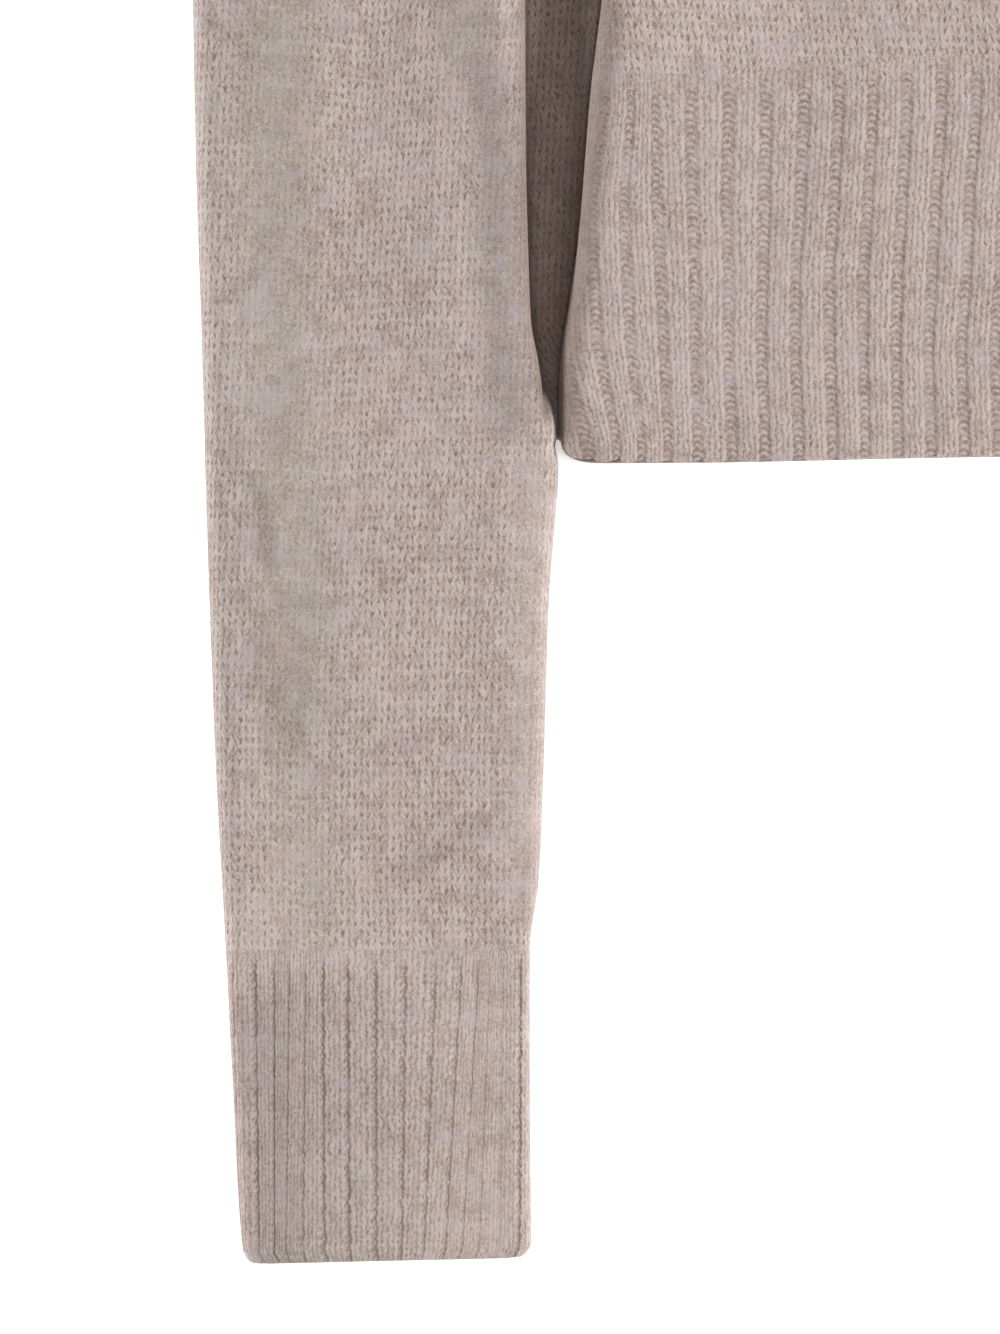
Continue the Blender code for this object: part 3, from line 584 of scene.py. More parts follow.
def neckRib(name, node):
    # the neck's curve, drawn in towards the free edge; z = middle * (1 + side * sqrt(1 - rounding^2))
    fine = np.linspace(0, math.pi / 2, band["fineSteps"])
    frontDrop, backDrop = body["frontNeckDrop"], body["backNeckDrop"]
    quarters = []
    for drop, repeats in ((frontDrop, band["frontRepeats"]), (backDrop, band["backRepeats"])):
        x, below = neckCurve(fine, body["neckHalf"], drop)
        length = np.concatenate([[0.0], np.cumsum(np.hypot(np.diff(x), np.diff(below)))])
        quarters.append(np.interp(np.linspace(0, length[-1], band["columns"] * repeats + 1), length, fine))
    front, back = quarters
    turn = np.concatenate([front[:-1], back[:0:-1], -back[:-1], -front[:0:-1]])
    upper = np.ones(len(turn))
    upper[len(front) - 1 : 1 - len(front)] = -1
    fold = unit(np.array([band["taper"], band["clear"] - band["depth"]]))
    share = (1 - edgeSteps(band["rows"], band["depth"])[::-1])[:, None]
    half = body["neckHalf"] - band["clear"] - band["inset"] - band["taper"] * share
    drop = np.where(upper > 0, frontDrop, backDrop) - band["dropTaper"] * share
    x, below = neckCurve(turn, half, drop)
    fromFold = (half - np.abs(x)) * -fold[1] + below * fold[0]
    rounding = np.clip(1 - fromFold / band["middle"], 0.0, 1.0)
    z = band["middle"] * (1 + upper * np.sqrt(1 - rounding**2))
    lift = band["clear"] + (band["depth"] - band["clear"]) * share
    points = np.stack([x, body["neckPoint"] + lift - below, z], axis=-1)
    facing = outward(points, ring=True)
    along = np.arange(len(turn) + 1) / band["columns"]
    relief = band["rise"] * ribSection(along[:-1] % 1.0) * ramp(facing[..., 2], *band["facing"])
    points = points + facing * relief[..., None]
    up = lengths(points, 0)
    up = np.concatenate([up, up[:, :1]], axis=1) / hem["course"]
    uv = np.stack([along + 0 * up, up], axis=-1)
    fullness = closing((1 - share) * band["depth"]) + 0 * x
    return shell(name, points, facing, uv, [ribWool, insideWool], [node], [], fullness, ring=True)


# Sleeves. Widths and heights along the arm: its two edges, the roll of its outer edge, the broad valley
# along it and the fold that stands up beside the body. folded is 1 where that fold lies over the cloth.
arm = {
    "height": [-0.2410, -0.2370, -0.1870, -0.1464, -0.1250, -0.0900, -0.0420, -0.0180,
               -0.0020, 0.0080, 0.0180, 0.0280, 0.0420, 0.0620, 0.0900, 0.1420],
    "outer": [0.3330, 0.3354, 0.3384, 0.3405, 0.3417, 0.3435, 0.3453, 0.3461,
              0.3466, 0.3468, 0.3471, 0.3474, 0.3478, 0.3485, 0.3494, 0.3504],
    "inner": [0.2510, 0.2486, 0.2490, 0.2490, 0.2463, 0.2448, 0.2433, 0.2415,
              0.2404, 0.2418, 0.2411, 0.2400, 0.2380, 0.2350, 0.2323, 0.2269],
    "roll": [0.0046, 0.0050, 0.0052, 0.0055, 0.0060, 0.0066] + 10 * [0.0070],
    "valley": [0.300, 0.300, 0.304, 0.310, 0.318, 0.319, 0.317, 0.315,
               0.313, 0.312, 0.311, 0.310, 0.308, 0.305, 0.301, 0.295],
    "valleyTop": [0.0078, 0.0078, 0.0080, 0.0082, 0.0088, 0.0092, 0.0095, 0.0096,
                  0.0097, 0.0098, 0.0099, 0.0100, 0.0101, 0.0102, 0.0103, 0.0104],
    "fold": [0.2510, 0.2486, 0.2490, 0.2490, 0.2463, 0.2448, 0.2433, 0.2415,
             0.2404, 0.2424, 0.2440, 0.2465, 0.2487, 0.2495, 0.2502, 0.2505],
    "foldTop": [0.0098, 0.0104, 0.0108, 0.0114, 0.0130, 0.0144, 0.0152, 0.0156,
                0.0160, 0.0166, 0.0176, 0.0182, 0.0188, 0.0190, 0.0190, 0.0190],
    "folded": 10 * [0.0] + [0.3, 0.7] + 4 * [1.0],
}
fan = {  # above its straight part the sleeve turns about the underarm until it lies along the armhole
    "turn": [0, 1, 2, 3, 4, 5, 6],
    "innerHeight": [0.142, 0.150, 0.157, 0.163, 0.168, 0.173, 0.178],
    "outerHeight": [0.1420, 0.1880, 0.2350, 0.2780, 0.3105, 0.3335, 0.3500],
    "outer": [0.3504, 0.3465, 0.3330, 0.3110, 0.2845, 0.2545, 0.2223],
    "roll": [0.0070, 0.0070, 0.0067, 0.0064, 0.0061, 0.0058, 0.0055],
    "opened": [0.00, 0.12, 0.35, 0.60, 0.82, 0.95, 1.00],
}
sleeve = {
    "foldWidth": 0.006,
    "foldClear": 0.0008,
    "floorRoll": 0.0028,
    "besideHem": -0.0001,
    "underRoll": -0.0010,
    "hemCorner": 0.006,  # below this height the sleeve has its own inner edge
    "low": -0.1464,  # its straight part
    "high": 0.142,
    "straightRows": 104,
    "fanRows": 104,
    "twist": 0.07,
    "twistFrom": -0.2,
    "twistTo": 0.15,
    "evenColumns": 20,  # the wall turns evenly over these, round the sharp end of the armhole
    "under": 8,  # columns of each stretch of its section
    "floor": 26,
    "outer": 14,
    "middle": 30,
    "over": 18,
    "crease": 6,
    "bed": 12,
    "lip": 10,
}


def armAt(column, height):
    return float(readTable(arm, "height", column, height))


def armholeTop(height):
    return sideRoll(height) * (1 + sideOpen(height))


def armholeUnder(height):
    return sideRoll(height) * (1 - sideOpen(height))


def arc(x, z, start, end, steps, across, up=None):
    # points round (x, z) from one angle to another, on an ellipse where up is given
    turn = np.radians(np.linspace(start, end, steps + 1))
    return pairs(x + across * np.cos(turn), z + (up or across) * np.sin(turn))


def seamed(section):
    # half the seam's gap taken off each end
    section[0, 1] -= sweater["seam"] / 2
    section[-1, 1] += sweater["seam"] / 2
    return section


def sleeveSection(height, edge, width, roll, opened=0.0):
    # distance from the inner edge and height: from that edge underneath, out, and back over the top
    folded, foldTop, valleyTop = (armAt(column, height) for column in ("folded", "foldTop", "valleyTop"))
    fold, valley = armAt("fold", height) - edge, armAt("valley", height) - edge
    layer, foldWidth = sleeve["floorRoll"], sleeve["foldWidth"]
    innerRoll = mix(foldTop / 2, layer, folded)
    under = arc(innerRoll, innerRoll, 180, 270, sleeve["under"], innerRoll)
    wide = body["armholeEase"] * np.linspace(0, 1, len(under)) ** 2
    under = mix(under, pairs(wide, armholeUnder(body["underarm"] + wide)), opened)
    floor = pairs(np.linspace(under[-1, 0], width - roll, sleeve["floor"] + 1)[1:], 0.0)
    outer = arc(width - roll, roll, -90, 90, sleeve["outer"], roll)[1:]
    crest = mix(foldTop / 2, fold + foldWidth, folded)
    steps = np.arange(1, sleeve["middle"] + 1) / sleeve["middle"]
    reach = np.concatenate([mix(width - roll, valley, steps), mix(valley, crest, steps)])
    dip = np.concatenate([ramp(1 - steps, 0, 1), ramp(steps, 0, 1)])
    highest = np.repeat([2 * roll, foldTop], sleeve["middle"])
    level = armholeTop(np.minimum(body["underarm"] + reach, body["shoulderTip"]))
    middle = pairs(reach, mix(mix(valleyTop, highest, dip), level, opened))
    layers, tight = 2 * layer, sleeve["foldClear"] / 2
    halfRoll = (foldTop - layers) / 2 - tight
    over = arc(fold + foldWidth, foldTop - halfRoll, 90, 270, sleeve["over"], foldWidth, halfRoll)[1:]
    crease = arc(fold + foldWidth, layers + tight, 90, -90, sleeve["crease"], tight)[1:]
    bed = pairs(np.linspace(fold + foldWidth, layer, sleeve["bed"] + 1)[1:], layers)
    lip = arc(layer, layer, 90, 180, sleeve["lip"], layer)[1:]
    deep = np.concatenate([over, crease, bed, lip])
    left = 1 - np.arange(1, len(deep) + 1) / len(deep)
    turn = math.pi / 2 * left
    plain = pairs(1 - np.cos(turn), 1 + np.sin(turn)) * foldTop / 2
    spread = crest * left**2
    spread = pairs(spread, armholeTop(body["underarm"] + spread))
    last = mix(mix(plain, deep, folded), spread, opened)
    return seamed(np.concatenate([under, floor, outer, middle, last]))


def station(inner, outer, section):
    # a section stood up along the line from the inner to the outer edge; also the way that its seam faces
    inner, outer = np.array(inner), np.array(outer)
    way = (outer - inner) / math.dist(inner, outer)
    plan = inner + section[:, :1] * way
    return np.column_stack([-plan[:, 0], plan[:, 1], section[:, 1]]), np.array([way[0], -way[1], 0.0])


def innerEdge(height):
    if height <= sleeve["hemCorner"]:
        return armAt("inner", height)
    return float(halfWidth(height)) + mix(sleeve["besideHem"], sleeve["underRoll"], armAt("folded", height))


def tubeFacing(stations):
    points = np.stack([p for p, _ in stations])
    facing = outward(points)
    facing[:, 0] = facing[:, -1] = np.stack([s for _, s in stations])
    return points, unit(facing)


def turnedOver(points, facing, uv):
    return (points * [-1, 1, 1])[:, ::-1], (facing * [-1, 1, 1])[:, ::-1], uv[:, ::-1]


def longSleeve(name, left, node, folds, places):
    stations = []
    for height in np.linspace(sleeve["low"], sleeve["high"], sleeve["straightRows"]):
        edge, outer = innerEdge(height), armAt("outer", height)
        section = sleeveSection(height, edge, outer - edge, armAt("roll", height))
        stations.append(station((edge, height), (outer, height), section))
    lastEdge = innerEdge(sleeve["high"])
    for turn in np.linspace(0, fan["turn"][-1], sleeve["fanRows"] + 1)[1:]:
        at = {key: float(readTable(fan, "turn", key, turn)) for key in fan}
        clear = mix(sleeve["underRoll"], sweater["seam"], at["opened"])
        inner = (float(halfWidth(at["innerHeight"])) + clear, at["innerHeight"])
        outer = (at["outer"], at["outerHeight"])
        width = math.dist(inner, outer)
        section = sleeveSection(sleeve["high"], lastEdge, width, at["roll"], at["opened"])
        stations.append(station(inner, outer, section))
    stations[-1][0][:, 0] = -halfWidth(stations[-1][0][:, 1])
    points, facing = tubeFacing(stations)
    even = sleeve["evenColumns"]
    for i in range(1, even):
        for column, clearOf in ((i, even), (-1 - i, -1 - even)):
            blend = unit(mix(facing[:, 0], facing[:, clearOf], i / even))
            facing[sleeve["straightRows"] :, column] = blend[sleeve["straightRows"] :]
    across, up = lengths(points, 1), lengths(points, 0)
    outerColumn = sleeve["under"] + sleeve["floor"] + sleeve["outer"] // 2
    across = across[:, outerColumn : outerColumn + 1] - across
    across += sleeve["twist"] * np.clip(points[..., 1], sleeve["twistFrom"], sleeve["twistTo"])
    uv = np.stack([across / sweater["wale"], up / sweater["course"]], axis=-1)
    if left:
        points, facing, uv = turnedOver(points, facing, uv)
    points = creased(points, facing, folds)
    return shell(name, points, facing, uv, [plainWool, insideWool], [node], places)


cuff = {
    "end": -0.241,
    "top": -0.1464,
    "tilt": 0.002,
    "tiltShare": 0.4,  # of its length, from the end
    "rows": 44,
    "columns": 14,  # for each rib
    "under": 8,  # columns of the other stretches of its section
    "floor": 16,
    "outside": 12,
    "outsideEnd": 62,  # degrees round the outer edge, where the ribs take over
    "start": 4,
    "last": 9,
    "lastEase": 1.6,
    "evenRib": 0.0072,  # width of one rib where there are no grooves
    "rise": 0.0003,
    "lift": 0.0001,
    "seamFade": (-0.001, 0.007),
    "facing": (0.0, 0.9),
    "valley": 0.2,
    "course": 0.00228,
    "grooveTop": [0.2517, 0.2570, 0.2607, 0.2640, 0.2691, 0.2769, 0.2862,
                  0.2952, 0.3036, 0.3111, 0.3162, 0.3210, 0.3255, 0.3312],
    "grooveEnd": [0.2520, 0.2580, 0.2643, 0.2694, 0.2745, 0.2808, 0.2874,
                  0.2949, 0.3030, 0.3105, 0.3171, 0.3222, 0.3255, 0.3300],
    "grooveDepth": [1.0, 0.3, 0.4, 0.55, 0.65, 0.7, 0.7, 0.75, 1.1, 1.1, 0.7, 0.75, 1.0, 1.1],
}


def cuffTop(height, reach, width):
    # the height of its upper side: a roll at each edge and the valley between them
    roll, foldRoll = armAt("roll", height), armAt("foldTop", height) / 2
    valley, valleyTop = armAt("valley", height) - armAt("inner", height), armAt("valleyTop", height)
    inner = foldRoll + np.sqrt(foldRoll**2 - np.maximum(foldRoll - reach, 0.0) ** 2)
    outer = roll + np.sqrt(roll**2 - np.maximum(roll - width + reach, 0.0) ** 2)
    toward = mix(valleyTop, inner, ramp(valley - reach, 0, valley - foldRoll))
    return mix(toward, outer, ramp(reach - valley, 0, width - roll - valley))


def ribbedCuff(name, left, node, places):
    stations, alongs = [], []
    length = cuff["top"] - cuff["end"]
    shares = edgeSteps(cuff["rows"], length)
    ribIndex = np.arange((len(cuff["grooveTop"]) - 1) * cuff["columns"] + 1) / cuff["columns"]
    for share in shares:
        height = cuff["end"] + share * length
        edge, outer = armAt("inner", height), armAt("outer", height)
        width, roll, foldRoll = outer - edge, armAt("roll", height), armAt("foldTop", height) / 2
        square = max(height, arm["height"][1])  # above the rounded corners of its end
        grooves = mix(np.array(cuff["grooveEnd"]), np.array(cuff["grooveTop"]), share)
        grooves -= armAt("inner", square)
        grooves *= width / (armAt("outer", square) - armAt("inner", square))
        under = arc(foldRoll, foldRoll, 180, 270, cuff["under"], foldRoll)
        floor = pairs(np.linspace(foldRoll, width - roll, cuff["floor"])[1:], 0.0)
        outside = arc(width - roll, roll, -90, cuff["outsideEnd"], cuff["outside"], roll)[1:]
        onRibs = np.interp(ribIndex, np.arange(len(grooves)), grooves)[::-1]
        start = np.linspace(outside[-1, 0], onRibs[0], cuff["start"])[1:-1]
        last = grooves[0] * np.linspace(1, 0, cuff["last"])[1:] ** cuff["lastEase"]
        over = np.concatenate([start, onRibs, last])
        over = pairs(over, cuffTop(height, over, width))
        section = seamed(np.concatenate([under, floor, outside, over]))
        before = np.cumsum(np.hypot(*np.diff(section, axis=0).T)) / cuff["evenRib"]
        before = np.concatenate([[0.0], before])
        afterRibs = len(section) - len(last)
        firstRib = afterRibs - len(onRibs)
        along = before - before[firstRib]
        along[firstRib:afterRibs] = ribIndex
        along[afterRibs:] = ribIndex[-1] + before[afterRibs:] - before[afterRibs - 1]
        points, seam = station((edge, height), (outer, height), section)
        tilted = ramp(cuff["tiltShare"] - share, 0, cuff["tiltShare"])
        points[:, 1] += cuff["tilt"] * (1 - section[:, 0] / width) * tilted
        stations.append((points, seam))
        alongs.append(along)
    points, facing = tubeFacing(stations)
    alongs = np.stack(alongs)
    depth = np.interp(alongs, np.arange(len(cuff["grooveTop"])), cuff["grooveDepth"][::-1])
    ribbing = ramp(cuff["top"] - points[..., 1], *cuff["seamFade"]) * depth
    relief = cuff["rise"] * ribSection(alongs % 1.0, valley=cuff["valley"]) + cuff["lift"]
    points = points + facing * (relief * ribbing * ramp(facing[..., 2], *cuff["facing"]))[..., None]
    fullness = closing(shares * length)[:, None]
    uv = np.stack([alongs, lengths(points, 0) / cuff["course"]], axis=-1)
    if left:
        points, facing, uv = turnedOver(points, facing, uv)
        ribbing = ribbing[:, ::-1]
    return shell(name, points, facing, uv, [cuffWool, insideWool], [node],
                 places, fullness, ribbing)


class Wire:
    # a socket in a material: Python's operators on it add Math nodes
    def __init__(self, tree, socket=None):
        self.tree, self.socket = tree, socket

    def node(self, kind, settings=None, values=None, out=0):
        made = self.tree.nodes.new(kind)
        for name, value in (settings or {}).items():
            setattr(made, name, value)
        for key, value in (values or {}).items():
            if isinstance(value, Wire):
                self.tree.links.new(value.socket, made.inputs[key])
            else:
                made.inputs[key].default_value = value
        return Wire(self.tree, made.outputs[out])

    def maths(self, operation, *values):
        return self.node("ShaderNodeMath", {"operation": operation}, dict(enumerate(values)))

    def __add__(self, other):
        return self.maths("ADD", self, other)

    __radd__ = __add__

    def __sub__(self, other):
        return self.maths("SUBTRACT", self, other)

    def __rsub__(self, other):
        return self.maths("SUBTRACT", other, self)

    def __mul__(self, other):
        return self.maths("MULTIPLY", self, other)

    __rmul__ = __mul__

    def __truediv__(self, other):
        return self.maths("DIVIDE", self, other)

    def __pow__(self, other):
        return self.maths("POWER", self, other)

    def fract(self):
        return self.maths("FRACT", self)

    def floor(self):
        return self.maths("FLOOR", self)

    def wave(self):
        # 1 at whole numbers, 0 halfway between them
        return self.maths("COSINE", self * (2 * math.pi)) * 0.5 + 0.5

    def step(self, low, high):
        return self.node("ShaderNodeMapRange", {"interpolation_type": "SMOOTHSTEP"},
                         {"Value": self, "From Min": low, "From Max": high})

    def bound(self, low, high):
        return self.maths("MINIMUM", self.maths("MAXIMUM", self, low), high)


wool = {
    # light and dark end one ramp: it paints shade into the stitches' pits and grooves and highlight onto
    # their legs, and carries the wool's random tone
    "light": (0.415, 0.353, 0.321, 1.0),
    "dark": (0.170, 0.120, 0.102, 1.0),
    "green": (0.330, 0.318, 0.285, 1.0),
    "mauve": (0.372, 0.318, 0.340, 1.0),
    "pink": (0.400, 0.300, 0.275, 1.0),
    "fleck": (0.520, 0.445, 0.412, 1.0),
    "jitterAcross": 0.576,
    "jitterUp": 0.8,
    "midHeight": 0.60,
    "brushHides": 0.72,
    "bump": 0.0006,
    "shader": {
        "Roughness": 0.92,
        "Specular IOR Level": 0.25,
        "Sheen Weight": 0.22,
        "Sheen Roughness": 0.55,
        "Sheen Tint": (0.95, 0.90, 0.87, 1.0),
    },
}
weight = {"stitch": 1.1, "tone": 0.34, "fibre": 0.9, "tuft": 1.0, "speck": 0.9, "patch": 0.5, "cloud": 0.5}
noises = {  # scale, detail and roughness: the first four to the stitches, the others to the metre
    "drift": (1.15, 2.0, 0.6),
    "fibre": (6.0, 2.0, 0.6),
    "tuft": (2.2, 1.0, 0.5),
    "patch": (0.5, 2.0, 0.55),
    "speck": (1250.0, 2.0, 0.7),
    "cloud": (26.0, 3.0, 0.6),
    "hue": (110.0, 3.0, 0.6),
}


def vector(x, y):
    return x.node("ShaderNodeCombineXYZ", None, {0: x, 1: y})


def noise(at, name, out=0):
    scale, detail, roughness = noises[name]
    return at.node("ShaderNodeTexNoise", None,
                   {"Vector": at, "Scale": scale, "Detail": detail, "Roughness": roughness}, out)


def mixColour(factor, a, b):
    return factor.node("ShaderNodeMix", {"data_type": "RGBA"}, {0: factor, 6: a, 7: b}, 2)


def stitchLegs(across, up, rise, slant, deep):
    # two slanting legs to a stitch, with a pit where their ends meet: the cloth's height, each leg's number.
    # The height gives the bump and also paints shade into the pits through the colour.
    place = across.fract() * 2 - 1
    sideways = place.maths("ABSOLUTE", place)
    climb = up - sideways * rise
    leg = (sideways * (1 - sideways) * 4).bound(0.0, 1.0)
    strand = 1 - (1 - climb.wave()).bound(0.0, 1.0) ** 1.5
    number = vector((across * 2).floor(), climb.floor())
    middle = 1 - sideways  # the pit is deepest in the middle of its stitch
    pit = (strand - 0.5) * deep * (middle * 0.5 + 0.75) + 0.40 - middle * 0.06
    return leg * (strand * slant + (1 - slant)) + (1 - leg) * pit, number


def splitXY(at):
    return at.node("ShaderNodeSeparateXYZ", None, {0: at}), at.node("ShaderNodeSeparateXYZ", None, {0: at}, 1)


# For each kind: stitches and courses of plain knit to one unit of its uv; how many courses a leg climbs, how
# much its strand shows and how deep the pits are, which also sets the shade painted into them; then shares of
# one rib, and how strong the painted shade of its groove line and the painted highlight of its bead are.
knit = {
    "plain": {"grain": (1.0, 1.0), "legs": (1.5, 0.20, 0.70)},
    "inside": {"grain": (1.0, 1.0)},
    "rib": {"grain": (2.60, 0.66), "legs": (2.0, 0.14, 0.36), "knitStart": 0.03, "knitShare": 0.69,
            "purl": 0.56, "purlBase": 0.33, "crest": 0.10,
            "line": 0.04, "lineWidth": 0.060, "lineFade": 0.16, "bead": 0.0},
    "cuff": {"grain": (2.05, 0.71), "legs": (2.0, 0.14, 0.36), "knitStart": 0.0, "knitShare": 0.84,
             "purl": 0.5, "purlBase": 0.40, "crest": 0.0,
             "line": 1.05, "lineWidth": 0.095, "lineFade": 0.095, "bead": 0.40},
}


def insideStitches(across, up):
    arch = up + (across.fract() * 2 - 1) ** 2.0 * 0.4
    return arch.wave() * 0.7 + across.wave() * 0.3, vector(across.floor(), arch.floor())


def ribStitches(look, across, up, ribbing):
    # a knit column and the purl beside it, with a crest where they meet
    phase, first, share = across.fract(), look["knitStart"], look["knitShare"]
    inPurl = (phase.step(share - 0.02, share + 0.04) - phase.step(0.98, 1.0)) * ribbing.bound(0.0, 1.0)
    knitted, number = stitchLegs((phase - first) * (2 / (share - first)), up, *look["legs"])
    spot = ((phase - share) / (1 - share)).bound(0.0, 1.0)
    arch = spot * (1 - spot) * 4
    purled = (up - arch * 0.5 + spot * 0.25).wave() * (arch * 0.5 + 0.5) * look["purl"]
    crest = phase.step(share - 0.18, share - 0.12) * (1 - phase.step(share - 0.05, share))
    height = knitted * (1 - inPurl) + (purled + look["purlBase"]) * inPurl
    return height + crest * look["crest"] * ribbing, number


def ribLines(look, across, up, ribbing, tuft):
    # painted shade in the line beside a knit column where its groove is, less the painted highlight on the
    # bead of stitches before that line
    width, wave = look["lineWidth"], up.wave()
    near = across.fract() + wave * 0.024
    line = (1 - near.step(0.0, width)) + near.step(1 - look["lineFade"], 1.0)
    line = line.bound(0.0, 1.0) * (1 - wave * 0.35) * (tuft.step(0.28, 0.52) * 0.65 + 0.35)
    bead = near.step(1 - 3 * width, 1 - 2 * width) * (1 - near.step(1 - 1.5 * width, 1 - 0.7 * width))
    return (line * look["line"] - bead * (wave - 0.25) * look["bead"]) * ribbing


def woolMaterial(name, kind):
    material = bpy.data.materials.new(name)
    material.use_nodes = True
    tree = material.node_tree
    shader = tree.nodes["Principled BSDF"]
    start, look = Wire(tree), knit[kind]
    grainX, grainY = look["grain"]
    place = start.node("ShaderNodeTexCoord", None, None, 3)
    # the places' tints, painted shade and highlight, and the brushed share of real wear
    paintedShadingAndWearTint = start.node("ShaderNodeAttribute", {"attribute_name": "paintedShadingAndWearTint"})
    brushed = start.node("ShaderNodeAttribute", {"attribute_name": "paintedShadingAndWearTint"}, None, 3)
    across, up = splitXY(start.node("ShaderNodeUVMap", {"uv_map": "stitches"}))
    grain = vector(across * grainX, up * grainY)
    driftX, driftY = splitXY(noise(grain, "drift", 1))
    across = across + (driftX - 0.5) * (wool["jitterAcross"] / grainX)
    up = up + (driftY - 0.5) * wool["jitterUp"]
    fibre, tuft, patch = (noise(grain, each) for each in ("fibre", "tuft", "patch"))
    speck, cloud = (noise(place, each) for each in ("speck", "cloud"))
    hueX, hueY = splitXY(noise(place, "hue", 1))
    paintedGrooveShade = None
    if kind == "plain":
        height, number = stitchLegs(across, up, *look["legs"])
    elif kind == "inside":
        height, number = insideStitches(across, up)
    else:
        ribbing = start.node("ShaderNodeAttribute", {"attribute_name": "ribbing"}, None, 2)
        height, number = ribStitches(look, across, up, ribbing)
        paintedGrooveShade = ribLines(look, across, up, ribbing, tuft)
    tone = start.node("ShaderNodeTexWhiteNoise", {"noise_dimensions": "3D"}, {"Vector": number})
    clear = (patch.step(0.32, 0.56) * 0.4 + 0.6) * (1 - brushed * wool["brushHides"])
    # the stitches' height paints shade into their pits and grooves and highlight onto their legs, on top of
    # the noises' random tone
    level = 0.5 + ((height - wool["midHeight"]) * weight["stitch"] + (tone - 0.5) * weight["tone"]) * clear
    level = level + (tuft - 0.5) * weight["tuft"] * (clear * 0.7 + 0.3)
    for each, key in ((fibre, "fibre"), (speck, "speck"), (patch, "patch"), (cloud, "cloud")):
        level = level + (each - 0.5) * weight[key]
    # painted shade in the rib grooves, lightened by the painted highlight on the beads
    if paintedGrooveShade is not None:
        level = level - paintedGrooveShade
    colour = mixColour(level.bound(0.0, 1.0), wool["dark"], wool["light"])
    colour = mixColour(hueX.step(0.52, 0.68) * 0.42, colour, wool["mauve"])
    colour = mixColour(hueY.step(0.54, 0.72) * 0.30, colour, wool["green"])
    colour = mixColour((1 - hueY.step(0.30, 0.44)) * 0.42, colour, wool["pink"])
    colour = mixColour(speck.step(0.60, 0.76) * 0.45, colour, wool["fleck"])
    multiply = {"data_type": "RGBA", "blend_type": "MULTIPLY"}
    # multiplied by the places' tints: painted shade and highlight, with some real wear
    colour = start.node("ShaderNodeMix", multiply, {0: 1.0, 6: colour, 7: paintedShadingAndWearTint}, 2)
    bump = start.node("ShaderNodeBump", None, {"Strength": 0.5, "Distance": wool["bump"],
                                               "Height": height * clear + fibre * 0.30 + speck * 0.15})
    tree.links.new(colour.socket, shader.inputs["Base Color"])
    tree.links.new(bump.socket, shader.inputs["Normal"])
    for key, value in wool["shader"].items():
        shader.inputs[key].default_value = value
    return material


plainWool = woolMaterial("plainWool", "plain")
ribWool = woolMaterial("ribWool", "rib")
cuffWool = woolMaterial("cuffWool", "cuff")
insideWool = woolMaterial("insideWool", "inside")
print("wool materials made")

frontPanel = bodyPanel("frontPanel", True, body["frontNeckDrop"], "front", creases["front"], paintedShadingAndWear["front"])
backPanel = bodyPanel("backPanel", False, body["backNeckDrop"], "back", [], [])
hemRibFront = hemRib("hemRibFront", True, "hem_rib_front")
hemRibBack = hemRib("hemRibBack", False, "hem_rib_back")
neckBand = neckRib("neckBand", "neckband")
sleeveRight = longSleeve("sleeveRight", False, "sleeve_right", creases["right"], paintedShadingAndWear["right"])
sleeveLeft = longSleeve("sleeveLeft", True, "sleeve_left", creases["left"], mirrored(paintedShadingAndWear["right"]))
cuffRight = ribbedCuff("cuffRight", False, "cuff_right", paintedShadingAndWear["cuffRight"])
cuffLeft = ribbedCuff("cuffLeft", True, "cuff_left", mirrored(paintedShadingAndWear["cuffRight"]))
print("knitted pieces made")

studio = {
    "floorColour": (0.95, 0.95, 0.95, 1.0),
    "floorSize": 6.0,
    "floorHeight": -0.0004,
    "floorRoughness": 0.9,
    "viewCentre": (-0.258, -0.146),
    "viewHeight": 0.010,  # of the cloth that fills the frame
    "frameHeight": 0.400,
    "lens": 135.0,
    "sensor": 36.0,
    "worldColour": (1.0, 1.0, 1.0, 1.0),
    "floorGlow": 0.42,
    "worldStrength": 0.04,
    "boxes": [  # place, size, watts, colour
        ((-2.5, -0.1, 1.15), (2.6, 0.5), 95.0, (1.0, 0.995, 0.99)),
        ((2.4, -0.2, 0.95), (2.6, 0.5), 138.0, (1.0, 0.99, 0.98)),
        ((-0.1, -2.2, 1.3), (2.4, 1.0), 13.0, (1.0, 0.99, 0.98)),
        ((-0.2, 0.3, 3.0), (1.6, 1.6), 18.0, (1.0, 0.99, 0.98)),
    ],
}


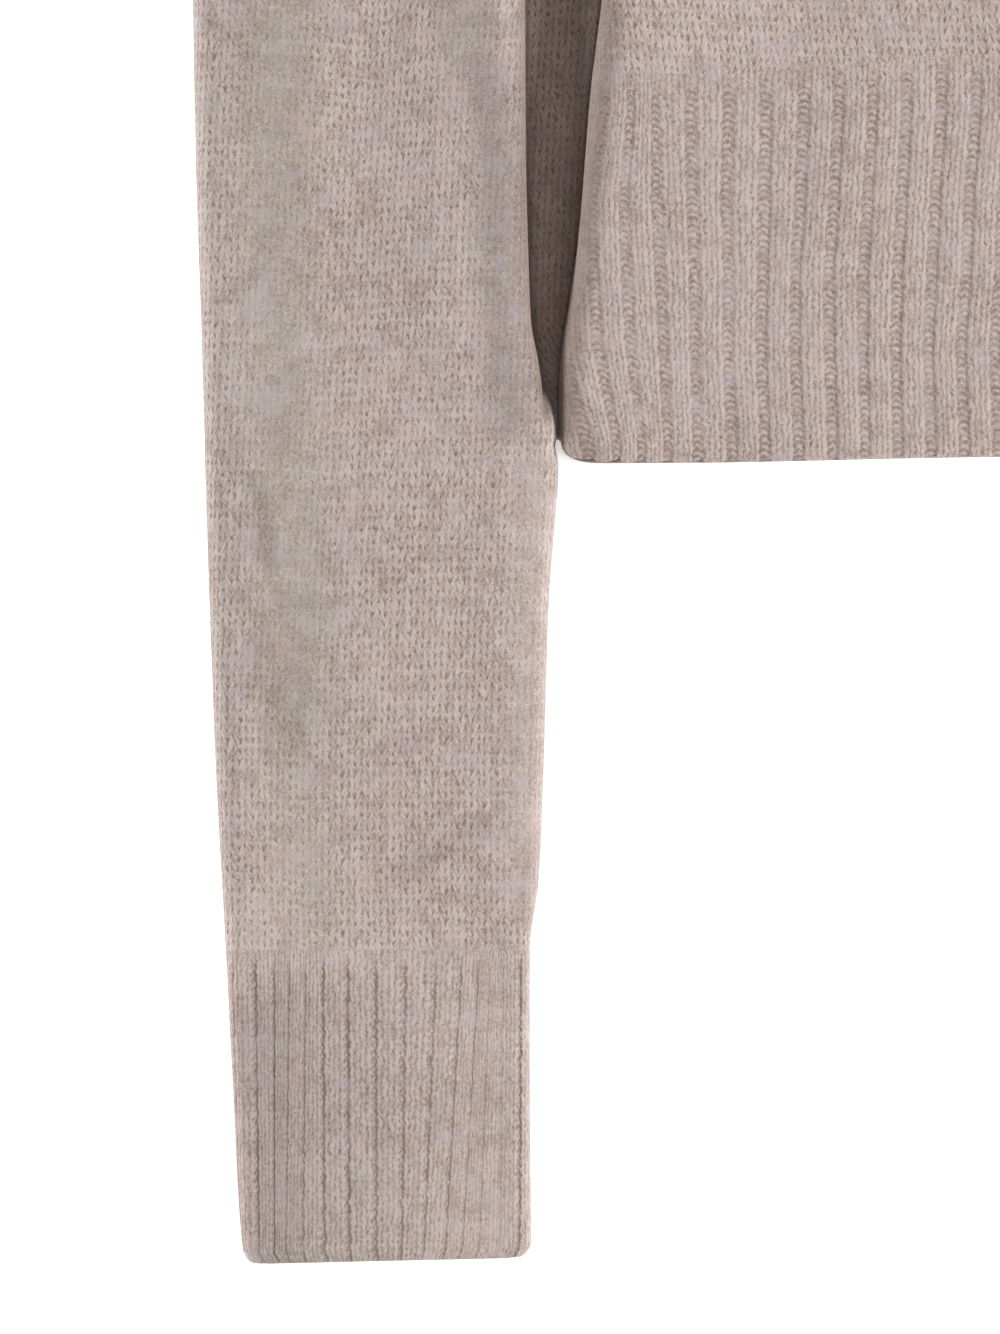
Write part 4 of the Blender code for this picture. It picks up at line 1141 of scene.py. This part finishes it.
def makeFloor():
    half, height = studio["floorSize"] / 2, studio["floorHeight"]
    mesh = bpy.data.meshes.new("floor")
    corners = [(-half, -half, height), (half, -half, height), (half, half, height), (-half, half, height)]
    mesh.from_pydata(corners, [], [(0, 1, 2, 3)])
    material = bpy.data.materials.new("paperWhite")
    material.use_nodes = True
    shader = material.node_tree.nodes["Principled BSDF"]
    shader.inputs["Base Color"].default_value = studio["floorColour"]
    shader.inputs["Roughness"].default_value = studio["floorRoughness"]
    shader.inputs["Emission Color"].default_value = studio["floorColour"]
    shader.inputs["Emission Strength"].default_value = studio["floorGlow"]
    mesh.materials.append(material)
    floor = bpy.data.objects.new("floor", mesh)
    bpy.context.scene.collection.objects.link(floor)


def softBox(index, place, size, watts, colour):
    light = bpy.data.lights.new(f"softBox{index}", "AREA")
    light.shape, light.size, light.size_y = "RECTANGLE", size[0], size[1]
    light.energy, light.color = watts, colour
    lamp = bpy.data.objects.new(f"softBox{index}", light)
    lamp.location = place
    way = np.array([studio["viewCentre"][0], 0.0, 0.0]) - np.array(place)
    flat = math.hypot(way[0], way[1])
    lamp.rotation_euler = (math.atan2(flat, -way[2]), 0.0, math.atan2(-way[0], way[1]) + 0.0)
    bpy.context.scene.collection.objects.link(lamp)


makeFloor()
for index, box in enumerate(studio["boxes"]):
    softBox(index, *box)
world = bpy.data.worlds.new("studio")
world.use_nodes = True
background = world.node_tree.nodes["Background"]
background.inputs["Color"].default_value = studio["worldColour"]
background.inputs["Strength"].default_value = studio["worldStrength"]
bpy.context.scene.world = world
bpy.context.scene.view_settings.view_transform = "Standard"

lens = bpy.data.cameras.new("camera")
lens.lens, lens.sensor_width, lens.sensor_fit = studio["lens"], studio["sensor"], "AUTO"
lens.clip_start, lens.clip_end = 0.05, 20.0
camera = bpy.data.objects.new("camera", lens)
distance = studio["frameHeight"] * studio["lens"] / studio["sensor"]
camera.location = (*studio["viewCentre"], studio["viewHeight"] + distance)
bpy.context.scene.collection.objects.link(camera)
bpy.context.scene.camera = camera
print("studio set")
